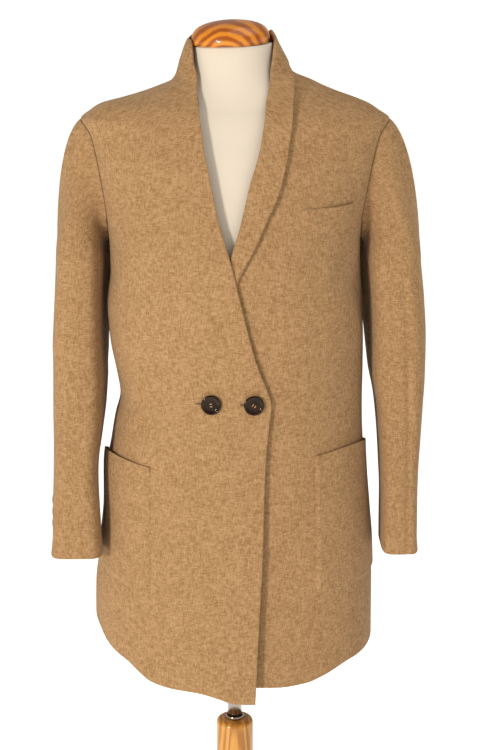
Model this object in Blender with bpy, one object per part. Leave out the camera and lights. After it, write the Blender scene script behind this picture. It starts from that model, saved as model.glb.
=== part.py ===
"""Camel wool blazer with a shawl collar, worn by a limbless dress form on a pole stand.

Metres, +Z up, origin on the floor at the middle of the stand. The front of the
blazer faces -Y, so the wearer's right side lies on -X. Every cloth piece is a thin
wall: its outer face is the body surface moved out along the normal by a few
millimetres, and its inner face is the same face moved in by the cloth thickness.
"""
import math

import bpy
import numpy as np

for old_object in list(bpy.data.objects):
    bpy.data.objects.remove(old_object, do_unlink=True)

CLOTH = 0.0022           # thickness of the wool
GAP = 0.0003             # space left between neighbouring pieces
PATCH_GAP = 0.0009       # least space beneath a pocket
RIDGE_Y = 0.008          # depth of the shoulder seam line
SIDE_SEAM = 95.0         # degrees round from the centre front
HEM_TOP = 0.758          # rows below this height follow the hem
NECK_SEAM = 1.426        # height where the collar stands on the back
UNDERARM = 1.195
SHOULDER_TIP = 1.362
POLE_RADIUS = 0.0103
POST_RADIUS = 0.027
POST_TOP = 0.4795
BASE_RADIUS = 0.190
BASE_HEIGHT = 0.030
FORM_BOTTOM = 0.760
FORM_SIDES = 28
NECK_TOP = 1.4608
NECK_TILT = 0.040        # rise of the neck cap per metre toward +X
STAND_X = -0.0025        # the pole and post stand a little to one side
BUTTON_RADIUS = 0.0136
BUTTON_THICK = 0.0046
BUTTON_HEIGHT = 0.9993   # height of both front buttons
BUTTON_OFF = 0.0006      # space between the cloth and a front button
BUTTON_TIP = 0.4         # share of the cloth's upward slope that a front button follows
CUFF_BUTTON_RADIUS = 0.0072
CUFF_BUTTON_THICK = 0.0030
CUFF_BUTTON_OFF = 0.0012
CUFF_BUTTON_TURN = {-1.0: -12.0, 1.0: -34.0}  # degrees from the outer side, right and left

# Body surface: height, half widths toward -X and +X, front and back depth, squareness
SECTIONS = np.array([
    (0.540, 0.2045, 0.1975, 0.1500, 0.1320, 2.30),
    (0.660, 0.2035, 0.1958, 0.1480, 0.1300, 2.30),
    (0.700, 0.2025, 0.1955, 0.1470, 0.1280, 2.30),
    (0.758, 0.1943, 0.1937, 0.1460, 0.1240, 2.30),
    (0.811, 0.1875, 0.1890, 0.1450, 0.1190, 2.30),
    (0.880, 0.1825, 0.1825, 0.1430, 0.1100, 2.30),
    (0.912, 0.1765, 0.1798, 0.1420, 0.1050, 2.30),
    (0.946, 0.1706, 0.1780, 0.1410, 0.1000, 2.30),
    (0.982, 0.1622, 0.1775, 0.1400, 0.0970, 2.30),
    (1.011, 0.1658, 0.1778, 0.1400, 0.0950, 2.30),
    (1.060, 0.1745, 0.1778, 0.1400, 0.0940, 2.30),
    (1.111, 0.1782, 0.1770, 0.1410, 0.0970, 2.28),
    (1.160, 0.1728, 0.1725, 0.1410, 0.1000, 2.24),
    (1.195, 0.1735, 0.1715, 0.1380, 0.1020, 2.20),
    (1.230, 0.1780, 0.1760, 0.1320, 0.1030, 2.15),
    (1.270, 0.1860, 0.1850, 0.1230, 0.1020, 2.12),
    (1.310, 0.1945, 0.1945, 0.1120, 0.0990, 2.08),
    (1.345, 0.2035, 0.2040, 0.0980, 0.0920, 2.05),
    (1.362, 0.2092, 0.2090, 0.0900, 0.0860, 2.00),
    (1.374, 0.1960, 0.1940, 0.0830, 0.0810, 2.00),
    (1.382, 0.1830, 0.1818, 0.0770, 0.0780, 2.00),
    (1.390, 0.1535, 0.1628, 0.0705, 0.0745, 2.00),
    (1.398, 0.1262, 0.1400, 0.0655, 0.0715, 2.00),
    (1.406, 0.1040, 0.1200, 0.0610, 0.0690, 2.00),
    (1.414, 0.0858, 0.1033, 0.0575, 0.0670, 2.00),
    (1.422, 0.0802, 0.0830, 0.0545, 0.0655, 2.00),
    (1.430, 0.0774, 0.0712, 0.0520, 0.0645, 2.00),
    (1.440, 0.0745, 0.0655, 0.0495, 0.0635, 2.00),
    (1.450, 0.0710, 0.0605, 0.0475, 0.0625, 2.00),
    (1.462, 0.0665, 0.0555, 0.0460, 0.0615, 2.00),
    (1.470, 0.0625, 0.0525, 0.0450, 0.0610, 2.00),
    (1.480, 0.0590, 0.0480, 0.0440, 0.0600, 2.00),
])

# Front edge of the overlapping right front: height, degrees, stand-off from the body
OVER_EDGE = np.array([
    (0.560, 10.0, 0.0140), (0.670, 11.9, 0.0125), (0.776, 14.1, 0.0105),
    (0.909, 15.9, 0.0085), (0.968, 18.0, 0.0075), (0.997, 19.2, 0.0070),
    (1.020, 16.7, 0.0070), (1.057, 11.3, 0.0070), (1.089, 7.8, 0.0070),
    (1.143, 2.6, 0.0070), (1.188, -1.8, 0.0070), (1.240, -8.7, 0.0064),
    (1.272, -12.5, 0.0060), (1.301, -16.1, 0.0055), (1.329, -20.7, 0.0050),
    (1.357, -25.5, 0.0045), (1.384, -32.6, 0.0040), (1.403, -40.7, 0.0035),
    (1.423, -49.0, 0.0030), (1.442, -58.2, 0.0025), (1.455, -62.8, 0.0020),
    (1.464, -67.6, 0.0016), (1.470, -75.0, 0.0014),
])

# Front edge of the left front below the crossing and its roll line above: height, degrees
UNDER_EDGE = np.array([
    (0.560, -15.0), (0.776, -19.5), (0.909, -21.5), (0.997, -24.0), (1.057, -17.0),
    (1.110, -10.5), (1.150, -6.2), (1.192, -1.9), (1.225, 2.8), (1.254, 6.4),
    (1.287, 10.6), (1.330, 18.8), (1.367, 25.8), (1.404, 39.0), (1.423, 48.8),
    (1.442, 60.2), (1.451, 66.0), (1.458, 71.4), (1.466, 79.0),
])

# Turned lapel and collar, from its hidden tip to the back neck:
# roll degrees, roll height, edge degrees, edge height, edge stand-off
LAPEL = np.array([
    (-8.0, 1.134, -5.0, 1.122, 0.0028), (-5.6, 1.156, -1.6, 1.144, 0.0029),
    (-3.0, 1.181, 1.6, 1.164, 0.0032), (-0.2, 1.204, 6.8, 1.189, 0.0045),
    (3.0, 1.226, 12.0, 1.213, 0.0055), (6.4, 1.254, 18.0, 1.2425, 0.0060),
    (10.6, 1.287, 25.1, 1.272, 0.0062), (14.6, 1.309, 30.0, 1.3004, 0.0062),
    (18.8, 1.330, 35.0, 1.3290, 0.0060), (24.0, 1.358, 40.2, 1.356, 0.0060),
    (29.5, 1.381, 46.2, 1.379, 0.0060), (39.0, 1.404, 56.1, 1.4008, 0.0060),
    (48.8, 1.423, 63.5, 1.4136, 0.0055), (60.2, 1.442, 75.4, 1.4250, 0.0048),
    (70.5, 1.456, 86.0, 1.4360, 0.0042), (82.0, 1.465, 95.0, 1.4470, 0.0036),
    (95.0, 1.471, 104.0, 1.4590, 0.0032), (110.0, 1.477, 113.0, 1.4710, 0.0028),
])

# Hem: degrees round, height
HEM = np.array([
    (-180.0, 0.622), (-140.0, 0.632), (-110.0, 0.650), (-90.0, 0.655), (-74.0, 0.646),
    (-67.0, 0.633), (-60.0, 0.623), (-53.0, 0.6160), (-46.0, 0.603), (-41.0, 0.5945),
    (-33.0, 0.590), (-17.0, 0.5865), (-6.0, 0.5797), (1.0, 0.5737), (10.0, 0.5722),
    (24.0, 0.5722),
])
HEM_UNDER = np.array([
    (-30.0, 0.592), (11.0, 0.591), (22.5, 0.5897), (34.0, 0.5920), (44.0, 0.600),
    (56.0, 0.611), (68.0, 0.6145), (80.0, 0.619), (95.0, 0.628), (110.0, 0.633),
    (140.0, 0.630), (180.0, 0.622),
])

# Top edge of the standing collar: degrees round the back, height
COLLAR_TOP = np.array([
    (90.0, 1.4660), (100.0, 1.4700), (112.0, 1.4770), (180.0, 1.4790),
    (240.0, 1.4750), (270.0, 1.4695),
])

# Armhole: height, degrees at the front edge and at the back edge, both sides
ARMHOLE = np.array([
    (1.195, 95.0, 95.0), (1.201, 88.0, 103.0), (1.210, 84.0, 107.0), (1.224, 80.5, 110.0),
    (1.246, 78.5, 112.0), (1.270, 78.3, 112.0), (1.294, 78.7, 111.0), (1.316, 79.5, 109.0),
    (1.334, 80.5, 106.0), (1.348, 82.2, 102.0), (1.357, 85.2, 96.5), (1.362, 90.0, 90.0),
])

# Soft folds of the body: degrees, height, half width deg, half height, lean deg/m, depth
FOLDS = np.array([
    (50.0, 1.165, 2.6, 0.030, -60.0, 0.0016),
    (73.0, 1.135, 9.0, 0.040, -160.0, -0.0060),
    (30.0, 1.060, 12.0, 0.060, 90.0, 0.0020),
    (-62.0, 1.090, 12.0, 0.060, 120.0, 0.0022),
    (-40.0, 1.010, 9.0, 0.070, -60.0, -0.0022),
    (58.0, 1.000, 10.0, 0.060, 60.0, -0.0022),
    (-30.0, 0.700, 9.0, 0.120, 10.0, 0.0022),
    (32.0, 0.680, 8.0, 0.120, -8.0, -0.0020),
    (150.0, 1.160, 14.0, 0.080, 60.0, -0.0030),
    (206.0, 1.080, 12.0, 0.090, -70.0, 0.0030),
    (172.0, 0.960, 10.0, 0.110, 20.0, -0.0026),
    (232.0, 1.230, 9.0, 0.070, 40.0, -0.0024),
    (160.0, 0.740, 9.0, 0.140, 6.0, 0.0030),
    (200.0, 0.700, 9.0, 0.140, -8.0, 0.0030),
])

# Sleeve below the blend: height, half depth, then inner x, outer x, middle y and tuck of
# the wearer's right sleeve, then the same four of the left. Tuck turns the inner side in
# behind the body where it is above zero, and out of the way of the pocket below zero.
SLEEVES = np.array([
    (0.7575, 0.057, 0.1940, 0.2585, -0.040, -0.42, 0.2050, 0.2565, -0.022, 0.00),
    (0.788, 0.057, 0.1942, 0.2560, -0.038, -0.38, 0.2048, 0.2550, -0.020, 0.00),
    (0.834, 0.057, 0.1942, 0.2548, -0.034, -0.27, 0.2045, 0.2550, -0.017, 0.00),
    (0.878, 0.058, 0.1930, 0.2535, -0.028, -0.10, 0.2030, 0.2560, -0.013, 0.04),
    (0.923, 0.060, 0.1882, 0.2532, -0.020, 0.00, 0.2005, 0.2585, -0.008, 0.06),
    (0.967, 0.062, 0.1838, 0.2535, -0.011, 0.06, 0.1968, 0.2608, -0.003, 0.10),
    (1.011, 0.064, 0.1828, 0.2530, -0.003, 0.14, 0.1900, 0.2630, 0.001, 0.18),
    (1.060, 0.066, 0.1840, 0.2525, 0.003, 0.26, 0.1880, 0.2635, 0.005, 0.34),
    (1.120, 0.068, 0.1830, 0.2495, 0.008, 0.42, 0.1845, 0.2605, 0.008, 0.50),
    (1.170, 0.068, 0.1805, 0.2465, 0.010, 0.48, 0.1805, 0.2550, 0.010, 0.54),
])
HEAD_SQUARENESS = 3.3
ARM_SQUARENESS = 4.2     # the hanging arm is flatter in front than the sleeve head
CUFF_SQUARENESS = 5.0    # the pressed cuff is flatter still
TUCK_POWER = 3.0         # how sharply the tuck gathers on the inner side

# Dress form: height, half widths toward -X and +X, front and back depth
FORM = np.array([
    (0.760, 0.158, 0.158, 0.118, 0.092), (0.764, 0.165, 0.165, 0.126, 0.099),
    (0.800, 0.171, 0.170, 0.132, 0.105), (0.880, 0.166, 0.167, 0.131, 0.098),
    (0.950, 0.153, 0.162, 0.128, 0.089), (1.000, 0.149, 0.162, 0.127, 0.085),
    (1.060, 0.158, 0.163, 0.127, 0.084), (1.120, 0.163, 0.162, 0.128, 0.087),
    (1.170, 0.160, 0.159, 0.128, 0.090), (1.230, 0.162, 0.161, 0.118, 0.092),
    (1.280, 0.168, 0.167, 0.106, 0.091), (1.315, 0.171, 0.171, 0.0945, 0.0875),
    (1.340, 0.171, 0.171, 0.084, 0.081), (1.358, 0.166, 0.166, 0.077, 0.076),
    (1.371, 0.153, 0.156, 0.0705, 0.0725), (1.382, 0.131, 0.138, 0.0635, 0.0695),
    (1.392, 0.110, 0.119, 0.0590, 0.0670), (1.401, 0.0910, 0.098, 0.0560, 0.0645),
    (1.410, 0.0760, 0.076, 0.0545, 0.0625), (1.420, 0.0665, 0.0612, 0.0532, 0.0610),
    (1.432, 0.0618, 0.0545, 0.0520, 0.0592), (1.444, 0.0594, 0.0515, 0.0508, 0.0575),
    (1.4608, 0.0580, 0.0500, 0.0493, 0.0549),
])

# Patch pockets: degrees at mouth, height at mouth, degrees at foot, height at foot
POCKET_RIGHT = np.array([
    (-92.0, 0.8940, -91.5, 0.7420), (-84.0, 0.9010, -77.0, 0.7400),
    (-76.0, 0.9050, -67.0, 0.7350), (-68.0, 0.9064, -60.0, 0.7300),
    (-60.0, 0.9058, -53.5, 0.7250), (-52.0, 0.9045, -47.5, 0.7160),
    (-44.5, 0.9030, -42.7, 0.7150),
])
POCKET_LEFT = np.array([
    (41.8, 0.9200, 41.3, 0.7225), (49.0, 0.9222, 47.6, 0.7205), (57.5, 0.9240, 54.5, 0.7207),
    (66.0, 0.9236, 62.5, 0.7235), (74.0, 0.9205, 71.5, 0.7238), (82.0, 0.9155, 81.0, 0.7240),
    (91.5, 0.9085, 91.5, 0.7240),
])
WELT = np.array([
    (37.8, 1.2556, 37.8, 1.2258), (46.2, 1.2562, 45.2, 1.2245), (54.0, 1.2560, 52.6, 1.2232),
    (61.0, 1.2568, 59.6, 1.2222), (66.8, 1.2575, 65.6, 1.2214),
])


def smooth(value):
    """Rise from 0 to 1 with level ends."""
    part = np.clip(value, 0.0, 1.0)
    return part * part * (3.0 - 2.0 * part)


def curve(x, table, column):
    """Monotone cubic through one column of a table whose first column rises."""
    xs = table[:, 0]
    ys = table[:, column]
    step = np.diff(xs)
    slope = np.diff(ys) / step
    before = 2.0 * step[1:] + step[:-1]
    after = step[1:] + 2.0 * step[:-1]
    same_way = slope[:-1] * slope[1:] > 0.0
    safe_low = np.where(same_way, slope[:-1], 1.0)
    safe_high = np.where(same_way, slope[1:], 1.0)
    middle = (before + after) / (before / safe_low + after / safe_high)
    tangent = np.zeros(len(xs))
    tangent[1:-1] = np.where(same_way, middle, 0.0)
    tangent[0] = slope[0]
    tangent[-1] = slope[-1]
    x = np.asarray(x, float)
    i = np.clip(np.searchsorted(xs, x, side="right") - 1, 0, len(xs) - 2)
    t = np.clip((x - xs[i]) / step[i], 0.0, 1.0)
    low = (1.0 + 2.0 * t) * (1.0 - t) ** 2 * ys[i] + t * (1.0 - t) ** 2 * step[i] * tangent[i]
    high = t * t * (3.0 - 2.0 * t) * ys[i + 1] + t * t * (t - 1.0) * step[i] * tangent[i + 1]
    return low + high


def body(degrees, height):
    """Point of the body surface: a rounded section whose size changes with height."""
    angle = np.radians(np.asarray(degrees, float))
    height = np.asarray(height, float)
    side = np.sin(angle)
    ahead = np.cos(angle)
    wide = np.where(side < 0.0, curve(height, SECTIONS, 1), curve(height, SECTIONS, 2))
    deep = np.where(ahead > 0.0, curve(height, SECTIONS, 3), curve(height, SECTIONS, 4))
    power = curve(height, SECTIONS, 5)
    total = (np.abs(side) / wide) ** power + (np.abs(ahead) / deep) ** power
    reach = total ** (-1.0 / power)
    return np.stack([reach * side, RIDGE_Y - reach * ahead, height + 0.0 * reach], axis=-1)


def body_normal(degrees, height):
    """Outward normal of the body surface, from two small steps."""
    turn = 0.01
    rise = 0.0001
    around = body(degrees + turn, height) - body(degrees - turn, height)
    upward = body(degrees, height + rise) - body(degrees, height - rise)
    normal = np.cross(around, upward)
    return normal / np.linalg.norm(normal, axis=-1, keepdims=True)


def folds(degrees, height):
    """Sum of the soft ridges and troughs of the worn cloth."""
    degrees = np.asarray(degrees, float)
    total = 0.0 * (degrees + height)
    for middle, level, wide, tall, lean, depth in FOLDS:
        across = np.mod(degrees - middle - lean * (height - level) + 180.0, 360.0) - 180.0
        along = (height - level) / tall
        total = total + depth * np.exp(-((across / wide) ** 2) - along**2)
    return total


def over_lift(degrees, height):
    """Stand-off of the right front, growing from its side to its free front edge."""
    edge = curve(height, OVER_EDGE, 1)
    most = curve(height, OVER_EDGE, 2)
    span = 45.0 + 35.0 * smooth((1.30 - height) / 0.14)
    return most * smooth((degrees - edge + span) / span)


def on_body(degrees, height, out):
    """Body point moved out along the normal by the folds and by a further distance."""
    distance = np.asarray(folds(degrees, height) + out)[..., None]
    return body(degrees, height) + distance * body_normal(degrees, height)


def material(name, colour, rough, metal=0.0, sheen=0.0):
    """Principled material of one colour."""
    made = bpy.data.materials.new(name)
    made.use_nodes = True
    shader = made.node_tree.nodes["Principled BSDF"]
    shader.inputs["Base Color"].default_value = (*colour, 1.0)
    shader.inputs["Roughness"].default_value = rough
    shader.inputs["Metallic"].default_value = metal
    shader.inputs["Sheen Weight"].default_value = sheen
    return made


def add_mesh(name, points, faces, look):
    """Closed mesh object with smooth faces and one material."""
    mesh = bpy.data.meshes.new(name)
    mesh.from_pydata([tuple(p) for p in points], [], faces)
    mesh.polygons.foreach_set("use_smooth", [True] * len(mesh.polygons))
    mesh.materials.append(look)
    mesh.update()
    node = bpy.data.objects.new(name, mesh)
    bpy.context.collection.objects.link(node)
    return node


def grid_faces(rows, columns, start, flip, closed):
    """Quads of a grid of points, turned over for an inner face."""
    faces = []
    for i in range(rows - 1):
        for j in range(columns if closed else columns - 1):
            k = (j + 1) % columns
            quad = [i * columns + j, i * columns + k, (i + 1) * columns + k, (i + 1) * columns + j]
            quad = [start + index for index in quad]
            faces.append(quad[::-1] if flip else quad)
    return faces


def add_wall(name, outer, inner, look, closed=False):
    """Cloth between an outer and an inner grid, with its raw edges filled."""
    rows, columns = outer.shape[:2]
    count = rows * columns
    points = np.concatenate([outer.reshape(-1, 3), inner.reshape(-1, 3)])
    faces = grid_faces(rows, columns, 0, False, closed)
    faces += grid_faces(rows, columns, count, True, closed)
    foot = list(range(columns))
    head = [(rows - 1) * columns + j for j in range(columns)]
    if closed:
        loops = [foot + foot[:1], (head + head[:1])[::-1]]
    else:
        right = [i * columns + columns - 1 for i in range(rows)]
        left = [i * columns for i in range(rows)]
        loops = [foot + right[1:] + head[::-1][1:] + left[::-1][1:]]
    for loop in loops:
        for a, b in zip(loop[:-1], loop[1:]):
            faces.append([b, a, a + count, b + count])
    return add_mesh(name, points, faces, look)


def add_lathe(name, profile, centre, look, sides, axis=(0.0, 0.0, 1.0), tilt=0.0):
    """Solid of revolution from rows of radius and height, closed at both ends."""
    axis = np.array(axis) / np.linalg.norm(axis)
    across = np.cross(axis, (0.0, 0.0, 1.0) if abs(axis[2]) < 0.9 else (0.0, 1.0, 0.0))
    across = across / np.linalg.norm(across)
    beside = np.cross(axis, across)
    turn = np.linspace(0.0, 2.0 * math.pi, sides, endpoint=False)
    circle = np.cos(turn)[:, None] * across + np.sin(turn)[:, None] * beside
    rings = [radius * circle + height * axis for radius, height in profile[1:-1]]
    points = [profile[0][1] * axis] + [p for ring in rings for p in ring] + [profile[-1][1] * axis]
    points = np.array(points)
    points[:, 2] += tilt * points[:, 0]
    faces = []
    last = len(points) - 1
    for j in range(sides):
        k = (j + 1) % sides
        faces.append([0, 1 + k, 1 + j])
        faces.append([last, last - sides + j, last - sides + k])
    faces += grid_faces(len(rings), sides, 1, False, True)
    return add_mesh(name, points + np.array(centre), faces, look)


def seam_turn(degrees, height):
    """Half the seam gap as an angle, so that two pieces end GAP apart."""
    spot = body(degrees, height)
    reach = math.hypot(spot[0], spot[1] - RIDGE_Y)
    return math.degrees(0.55 * GAP / reach)


def armhole(height, back):
    """Degrees of the armhole edge at a height, at the front or at the back."""
    return float(np.interp(height, ARMHOLE[:, 0], ARMHOLE[:, 2 if back else 1]))


def outer_side(height, back):
    """Degrees where a body panel ends: side seam, armhole, then shoulder seam."""
    sense = 1.0 if back else -1.0
    if height < UNDERARM:
        return SIDE_SEAM + sense * seam_turn(SIDE_SEAM, height)
    if height < SHOULDER_TIP:
        return armhole(height, back) + sense * seam_turn(90.0, height)
    return 90.0 + sense * seam_turn(90.0, height)


LOW_ROWS = [0.0, 0.08, 0.28, 0.52, 0.76]
MID_ROWS = [0.758, 0.800, 0.845, 0.885, 0.915, 0.946, 0.978, 1.005, 1.035, 1.065,
            1.095, 1.125, 1.155, 1.178]
TOP_ROWS = [1.368, 1.375, 1.382, 1.390, 1.398, 1.406, 1.414, 1.420, NECK_SEAM]
COLLAR_ROWS = [1.435, 1.4445, 1.4545, 1.463]
COLLAR_END = 1.4685      # last row of the right front, which stands higher


def panel_rows(top_rows):
    """Heights of all rows above the hem zone, through the armhole."""
    return MID_ROWS + list(ARMHOLE[:, 0]) + top_rows


def hem_height(degrees, table):
    """Height of a hem at each angle."""
    return curve(degrees, table, 1)


def panel_grid(starts, ends, heights, columns, hem):
    """Angles and heights of a panel: level rows above, rows bent to the hem below."""
    share = np.linspace(0.0, 1.0, columns)
    upper = np.array(starts)[:, None] * (1.0 - share) + np.array(ends)[:, None] * share
    levels = np.array(heights)[:, None] + 0.0 * upper
    foot_turn = upper[0]
    foot = hem_height(foot_turn, hem)
    low = np.array([foot + (HEM_TOP - foot) * part for part in LOW_ROWS])
    turns = np.array([foot_turn + 0.0 * foot for part in LOW_ROWS])
    return np.concatenate([turns, upper]), np.concatenate([low, levels])


def follow_edge(turns, heights, edge, column):
    """Bend the rows of the hem zone so that the front edge keeps its table."""
    shift = curve(heights[:, column], edge, 1) - turns[:, column]
    share = np.linspace(0.0, 1.0, turns.shape[1])
    if column == 0:
        share = share[::-1]
    return turns + shift[:, None] * share


def wall_on_body(name, turns, heights, out, look):
    """Panel wall whose outer face stands the given distance off the body."""
    outer = on_body(turns, heights, out)
    inner = on_body(turns, heights, out - CLOTH)
    return add_wall(name, outer, inner, look)


def make_front_right(look):
    """Overlapping front with its cut-on standing collar."""
    heights = panel_rows(TOP_ROWS + COLLAR_ROWS + [COLLAR_END])
    starts = [-outer_side(h, False) for h in heights]
    ends = [float(curve(h, OVER_EDGE, 1)) for h in heights]
    turns, levels = panel_grid(starts, ends, heights, 17, HEM)
    turns = follow_edge(turns, levels, OVER_EDGE, -1)
    return wall_on_body("front_right", turns, levels, over_lift(turns, levels), look)


def make_front_left(look):
    """Front that runs beneath the overlap, cut back to the roll line above it."""
    heights = panel_rows(TOP_ROWS + COLLAR_ROWS)
    starts = [float(curve(h, UNDER_EDGE, 1)) for h in heights]
    ends = [outer_side(h, False) for h in heights]
    turns, levels = panel_grid(starts, ends, heights, 15, HEM_UNDER)
    turns = follow_edge(turns, levels, UNDER_EDGE, 0)
    return wall_on_body("front_left", turns, levels, 0.0 * turns, look)


def make_back(look):
    """Back from side seam to side seam, up to the neck seam."""
    heights = panel_rows(TOP_ROWS)
    starts = [outer_side(h, True) for h in heights]
    ends = [360.0 - outer_side(h, True) for h in heights]
    hem = np.concatenate([HEM_UNDER[-4:], HEM[1:5] + np.array([360.0, 0.0])])
    turns, levels = panel_grid(starts, ends, heights, 17, hem)
    return wall_on_body("back", turns, levels, 0.0 * turns, look)


def make_collar_back(look):
    """Stand of the collar behind the neck, between the two fronts."""
    low = NECK_SEAM + GAP
    start = 90.0 + seam_turn(90.0, 1.45)
    turn = np.linspace(start, 360.0 - start, 17)
    top = curve(turn, COLLAR_TOP, 1)
    share = np.array([0.0, 0.3, 0.62, 1.0])[:, None]
    levels = low + share * (top - low)
    turns = turn + 0.0 * levels
    return wall_on_body("collar_back", turns, levels, 0.0 * turns, look)


def make_lapel(look):
    """Turned half of the shawl collar, from the roll line to its free edge."""
    share = np.array([0.0, 0.16, 0.40, 0.70, 1.0])
    turns = LAPEL[:, 0:1] * (1.0 - share) + LAPEL[:, 2:3] * share
    levels = LAPEL[:, 1:2] * (1.0 - share) + LAPEL[:, 3:4] * share
    rise = smooth(share / 1.2)[None, :]
    nearest = CLOTH + 3.0 * GAP
    out = nearest + (LAPEL[:, 4:5] - nearest) * rise / rise[0, -1]
    return wall_on_body("lapel_left", turns, levels, out, look)


def patch(name, table, under, gape, gape_middle, look, rows=7):
    """Pocket patch lying on a front, with a mouth that stands a little open."""
    position = np.linspace(0.0, len(table) - 1.0, 2 * len(table) - 1)
    index = np.arange(len(table))
    mouth_turn, mouth, foot_turn, foot = [np.interp(position, index, table[:, k]) for k in range(4)]
    share = np.linspace(0.0, 1.0, rows)[:, None]
    turns = foot_turn + share * (mouth_turn - foot_turn)
    levels = foot + share * (mouth - foot)
    across = (turns - gape_middle[0]) / gape_middle[1]
    open_by = gape * share**3 * np.exp(-(across**2))
    out = under(turns, levels) + CLOTH + PATCH_GAP + open_by
    return wall_on_body(name, turns, levels, out, look)


def flat_under(turns, levels):
    """No lift: the left front lies on the body surface."""
    return 0.0 * turns


def sleeve_start(side):
    """Armhole loop from the shoulder tip down the front and up the back."""
    front = [(armhole(h, False), h) for h in ARMHOLE[::-1, 0]]
    rear = [(armhole(h, True), h) for h in ARMHOLE[1:-1, 0]]
    loop = np.array(front + rear)
    turns = side * loop[:, 0]
    points = on_body(turns, loop[:, 1], 0.0)
    normals = body_normal(turns, loop[:, 1])
    along = np.roll(points, -1, axis=0) - np.roll(points, 1, axis=0)
    into = np.cross(normals, along)
    into = into / np.linalg.norm(into, axis=1, keepdims=True)
    centre = points.mean(axis=0)
    facing = np.sum(into * (centre - points), axis=1) < 0.0
    into[facing] *= -1.0
    into[0] = (side * 0.94, 0.0, -0.34)
    return points, normals, into


def sleeve_sizes(side, height):
    """Half depth, inner x, outer x, middle y and tuck of one sleeve at a height."""
    first = 2 if side < 0.0 else 6
    return [float(curve(height, SLEEVES, column)) for column in (1, *range(first, first + 4))]


def tucked(tuck, out, ahead):
    """Share of the reach by which the tuck shifts a sleeve point outward.

    Above zero it draws only the back of the inner side in, behind the body. Below zero it
    turns the whole inner side the other way.
    """
    drawn = np.where(tuck > 0.0, np.minimum(ahead, 0.0), ahead)
    return tuck * (0.5 * (1.0 - out)) ** TUCK_POWER * drawn


def squareness(height):
    """Power of the sleeve's rounded section: fuller in the arm, squarer at the cuff."""
    arm = (ARM_SQUARENESS - HEAD_SQUARENESS) * smooth((1.15 - height) / 0.12)
    cuff = (CUFF_SQUARENESS - ARM_SQUARENESS) * smooth((0.87 - height) / 0.10)
    return HEAD_SQUARENESS + arm + cuff


def make_sleeve(name, side, look):
    """Sleeve from the armhole to the cuff: a blend, then rounded sections by table."""
    start, normals, into = sleeve_start(side)
    steps = np.linalg.norm(np.roll(start, -1, axis=0) - start, axis=1)
    travelled = np.concatenate([[0.0], np.cumsum(steps)[:-1]]) / steps.sum()
    foot_at = travelled[len(ARMHOLE) - 1]
    angle = np.where(travelled <= foot_at, math.pi * travelled / foot_at,
                     math.pi + math.pi * (travelled - foot_at) / (1.0 - foot_at))

    def ring(height):
        """Rounded section at a height, starting at the outer side."""
        deep, low, high, middle_y, tuck = sleeve_sizes(side, height)
        out = np.cos(angle)
        ahead = np.sin(angle)
        half = 0.5 * (high - low)
        power = squareness(height)
        total = np.abs(out / half) ** power + np.abs(ahead / deep) ** power
        reach = total ** (-1.0 / power)
        turned = tucked(tuck, out, ahead) * reach
        x = side * (0.5 * (low + high) + reach * out + turned)
        valley = 0.0035 * np.exp(-(((angle - 0.95) / 0.30) ** 2))
        valley = valley * smooth((1.22 - height) / 0.10) * smooth((height - 0.80) / 0.12)
        y = middle_y - reach * ahead + valley
        return np.stack([x, y, height + 0.0 * x], axis=-1)

    top = ring(SLEEVES[-1, 0])
    reach = np.linalg.norm(top - start, axis=1, keepdims=True)
    high_up = smooth((start[:, 2:3] - 1.22) / 0.13)
    leave = np.array([side, 0.0, -0.12]) - high_up * np.array([0.0, 0.0, 0.78]) + 0.30 * into
    leave = leave / np.linalg.norm(leave, axis=1, keepdims=True)
    rows = [start + 1.2 * GAP * into]
    for t in (0.07, 0.18, 0.32, 0.48, 0.66, 0.84):
        a = (1.0 + 2.0 * t) * (1.0 - t) ** 2
        b = t * (1.0 - t) ** 2
        c = t * t * (3.0 - 2.0 * t)
        d = t * t * (t - 1.0)
        rows.append(a * rows[0] + b * reach * leave * (0.95 - 0.33 * high_up) + c * top
                    + d * reach * np.array([0.0, 0.0, -0.9]))
    rows += [ring(height) for height in SLEEVES[::-1, 0]]
    outer = np.array(rows)
    cuff_drop = np.clip(outer[-1, :, 1] / 0.06, -1.0, 1.0)
    outer[-1, :, 2] += 0.004 - 0.004 * cuff_drop
    around = np.roll(outer, -1, axis=1) - np.roll(outer, 1, axis=1)
    down = np.gradient(outer, axis=0)
    face = np.cross(down, around)
    face = face / np.linalg.norm(face, axis=-1, keepdims=True)
    middle = outer.mean(axis=1, keepdims=True)
    if np.sum(face * (outer - middle)) < 0.0:
        face = -face
    toward = np.sum(face[0] * into, axis=1, keepdims=True)
    face[0] = face[0] - np.maximum(toward, 0.0) * into
    face[0] = face[0] / np.linalg.norm(face[0], axis=1, keepdims=True)
    inner = outer - CLOTH * face
    if side > 0.0:
        outer = outer[:, ::-1]
        inner = inner[:, ::-1]
    return add_wall(name, outer[::-1], inner[::-1], look, closed=True)


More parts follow.
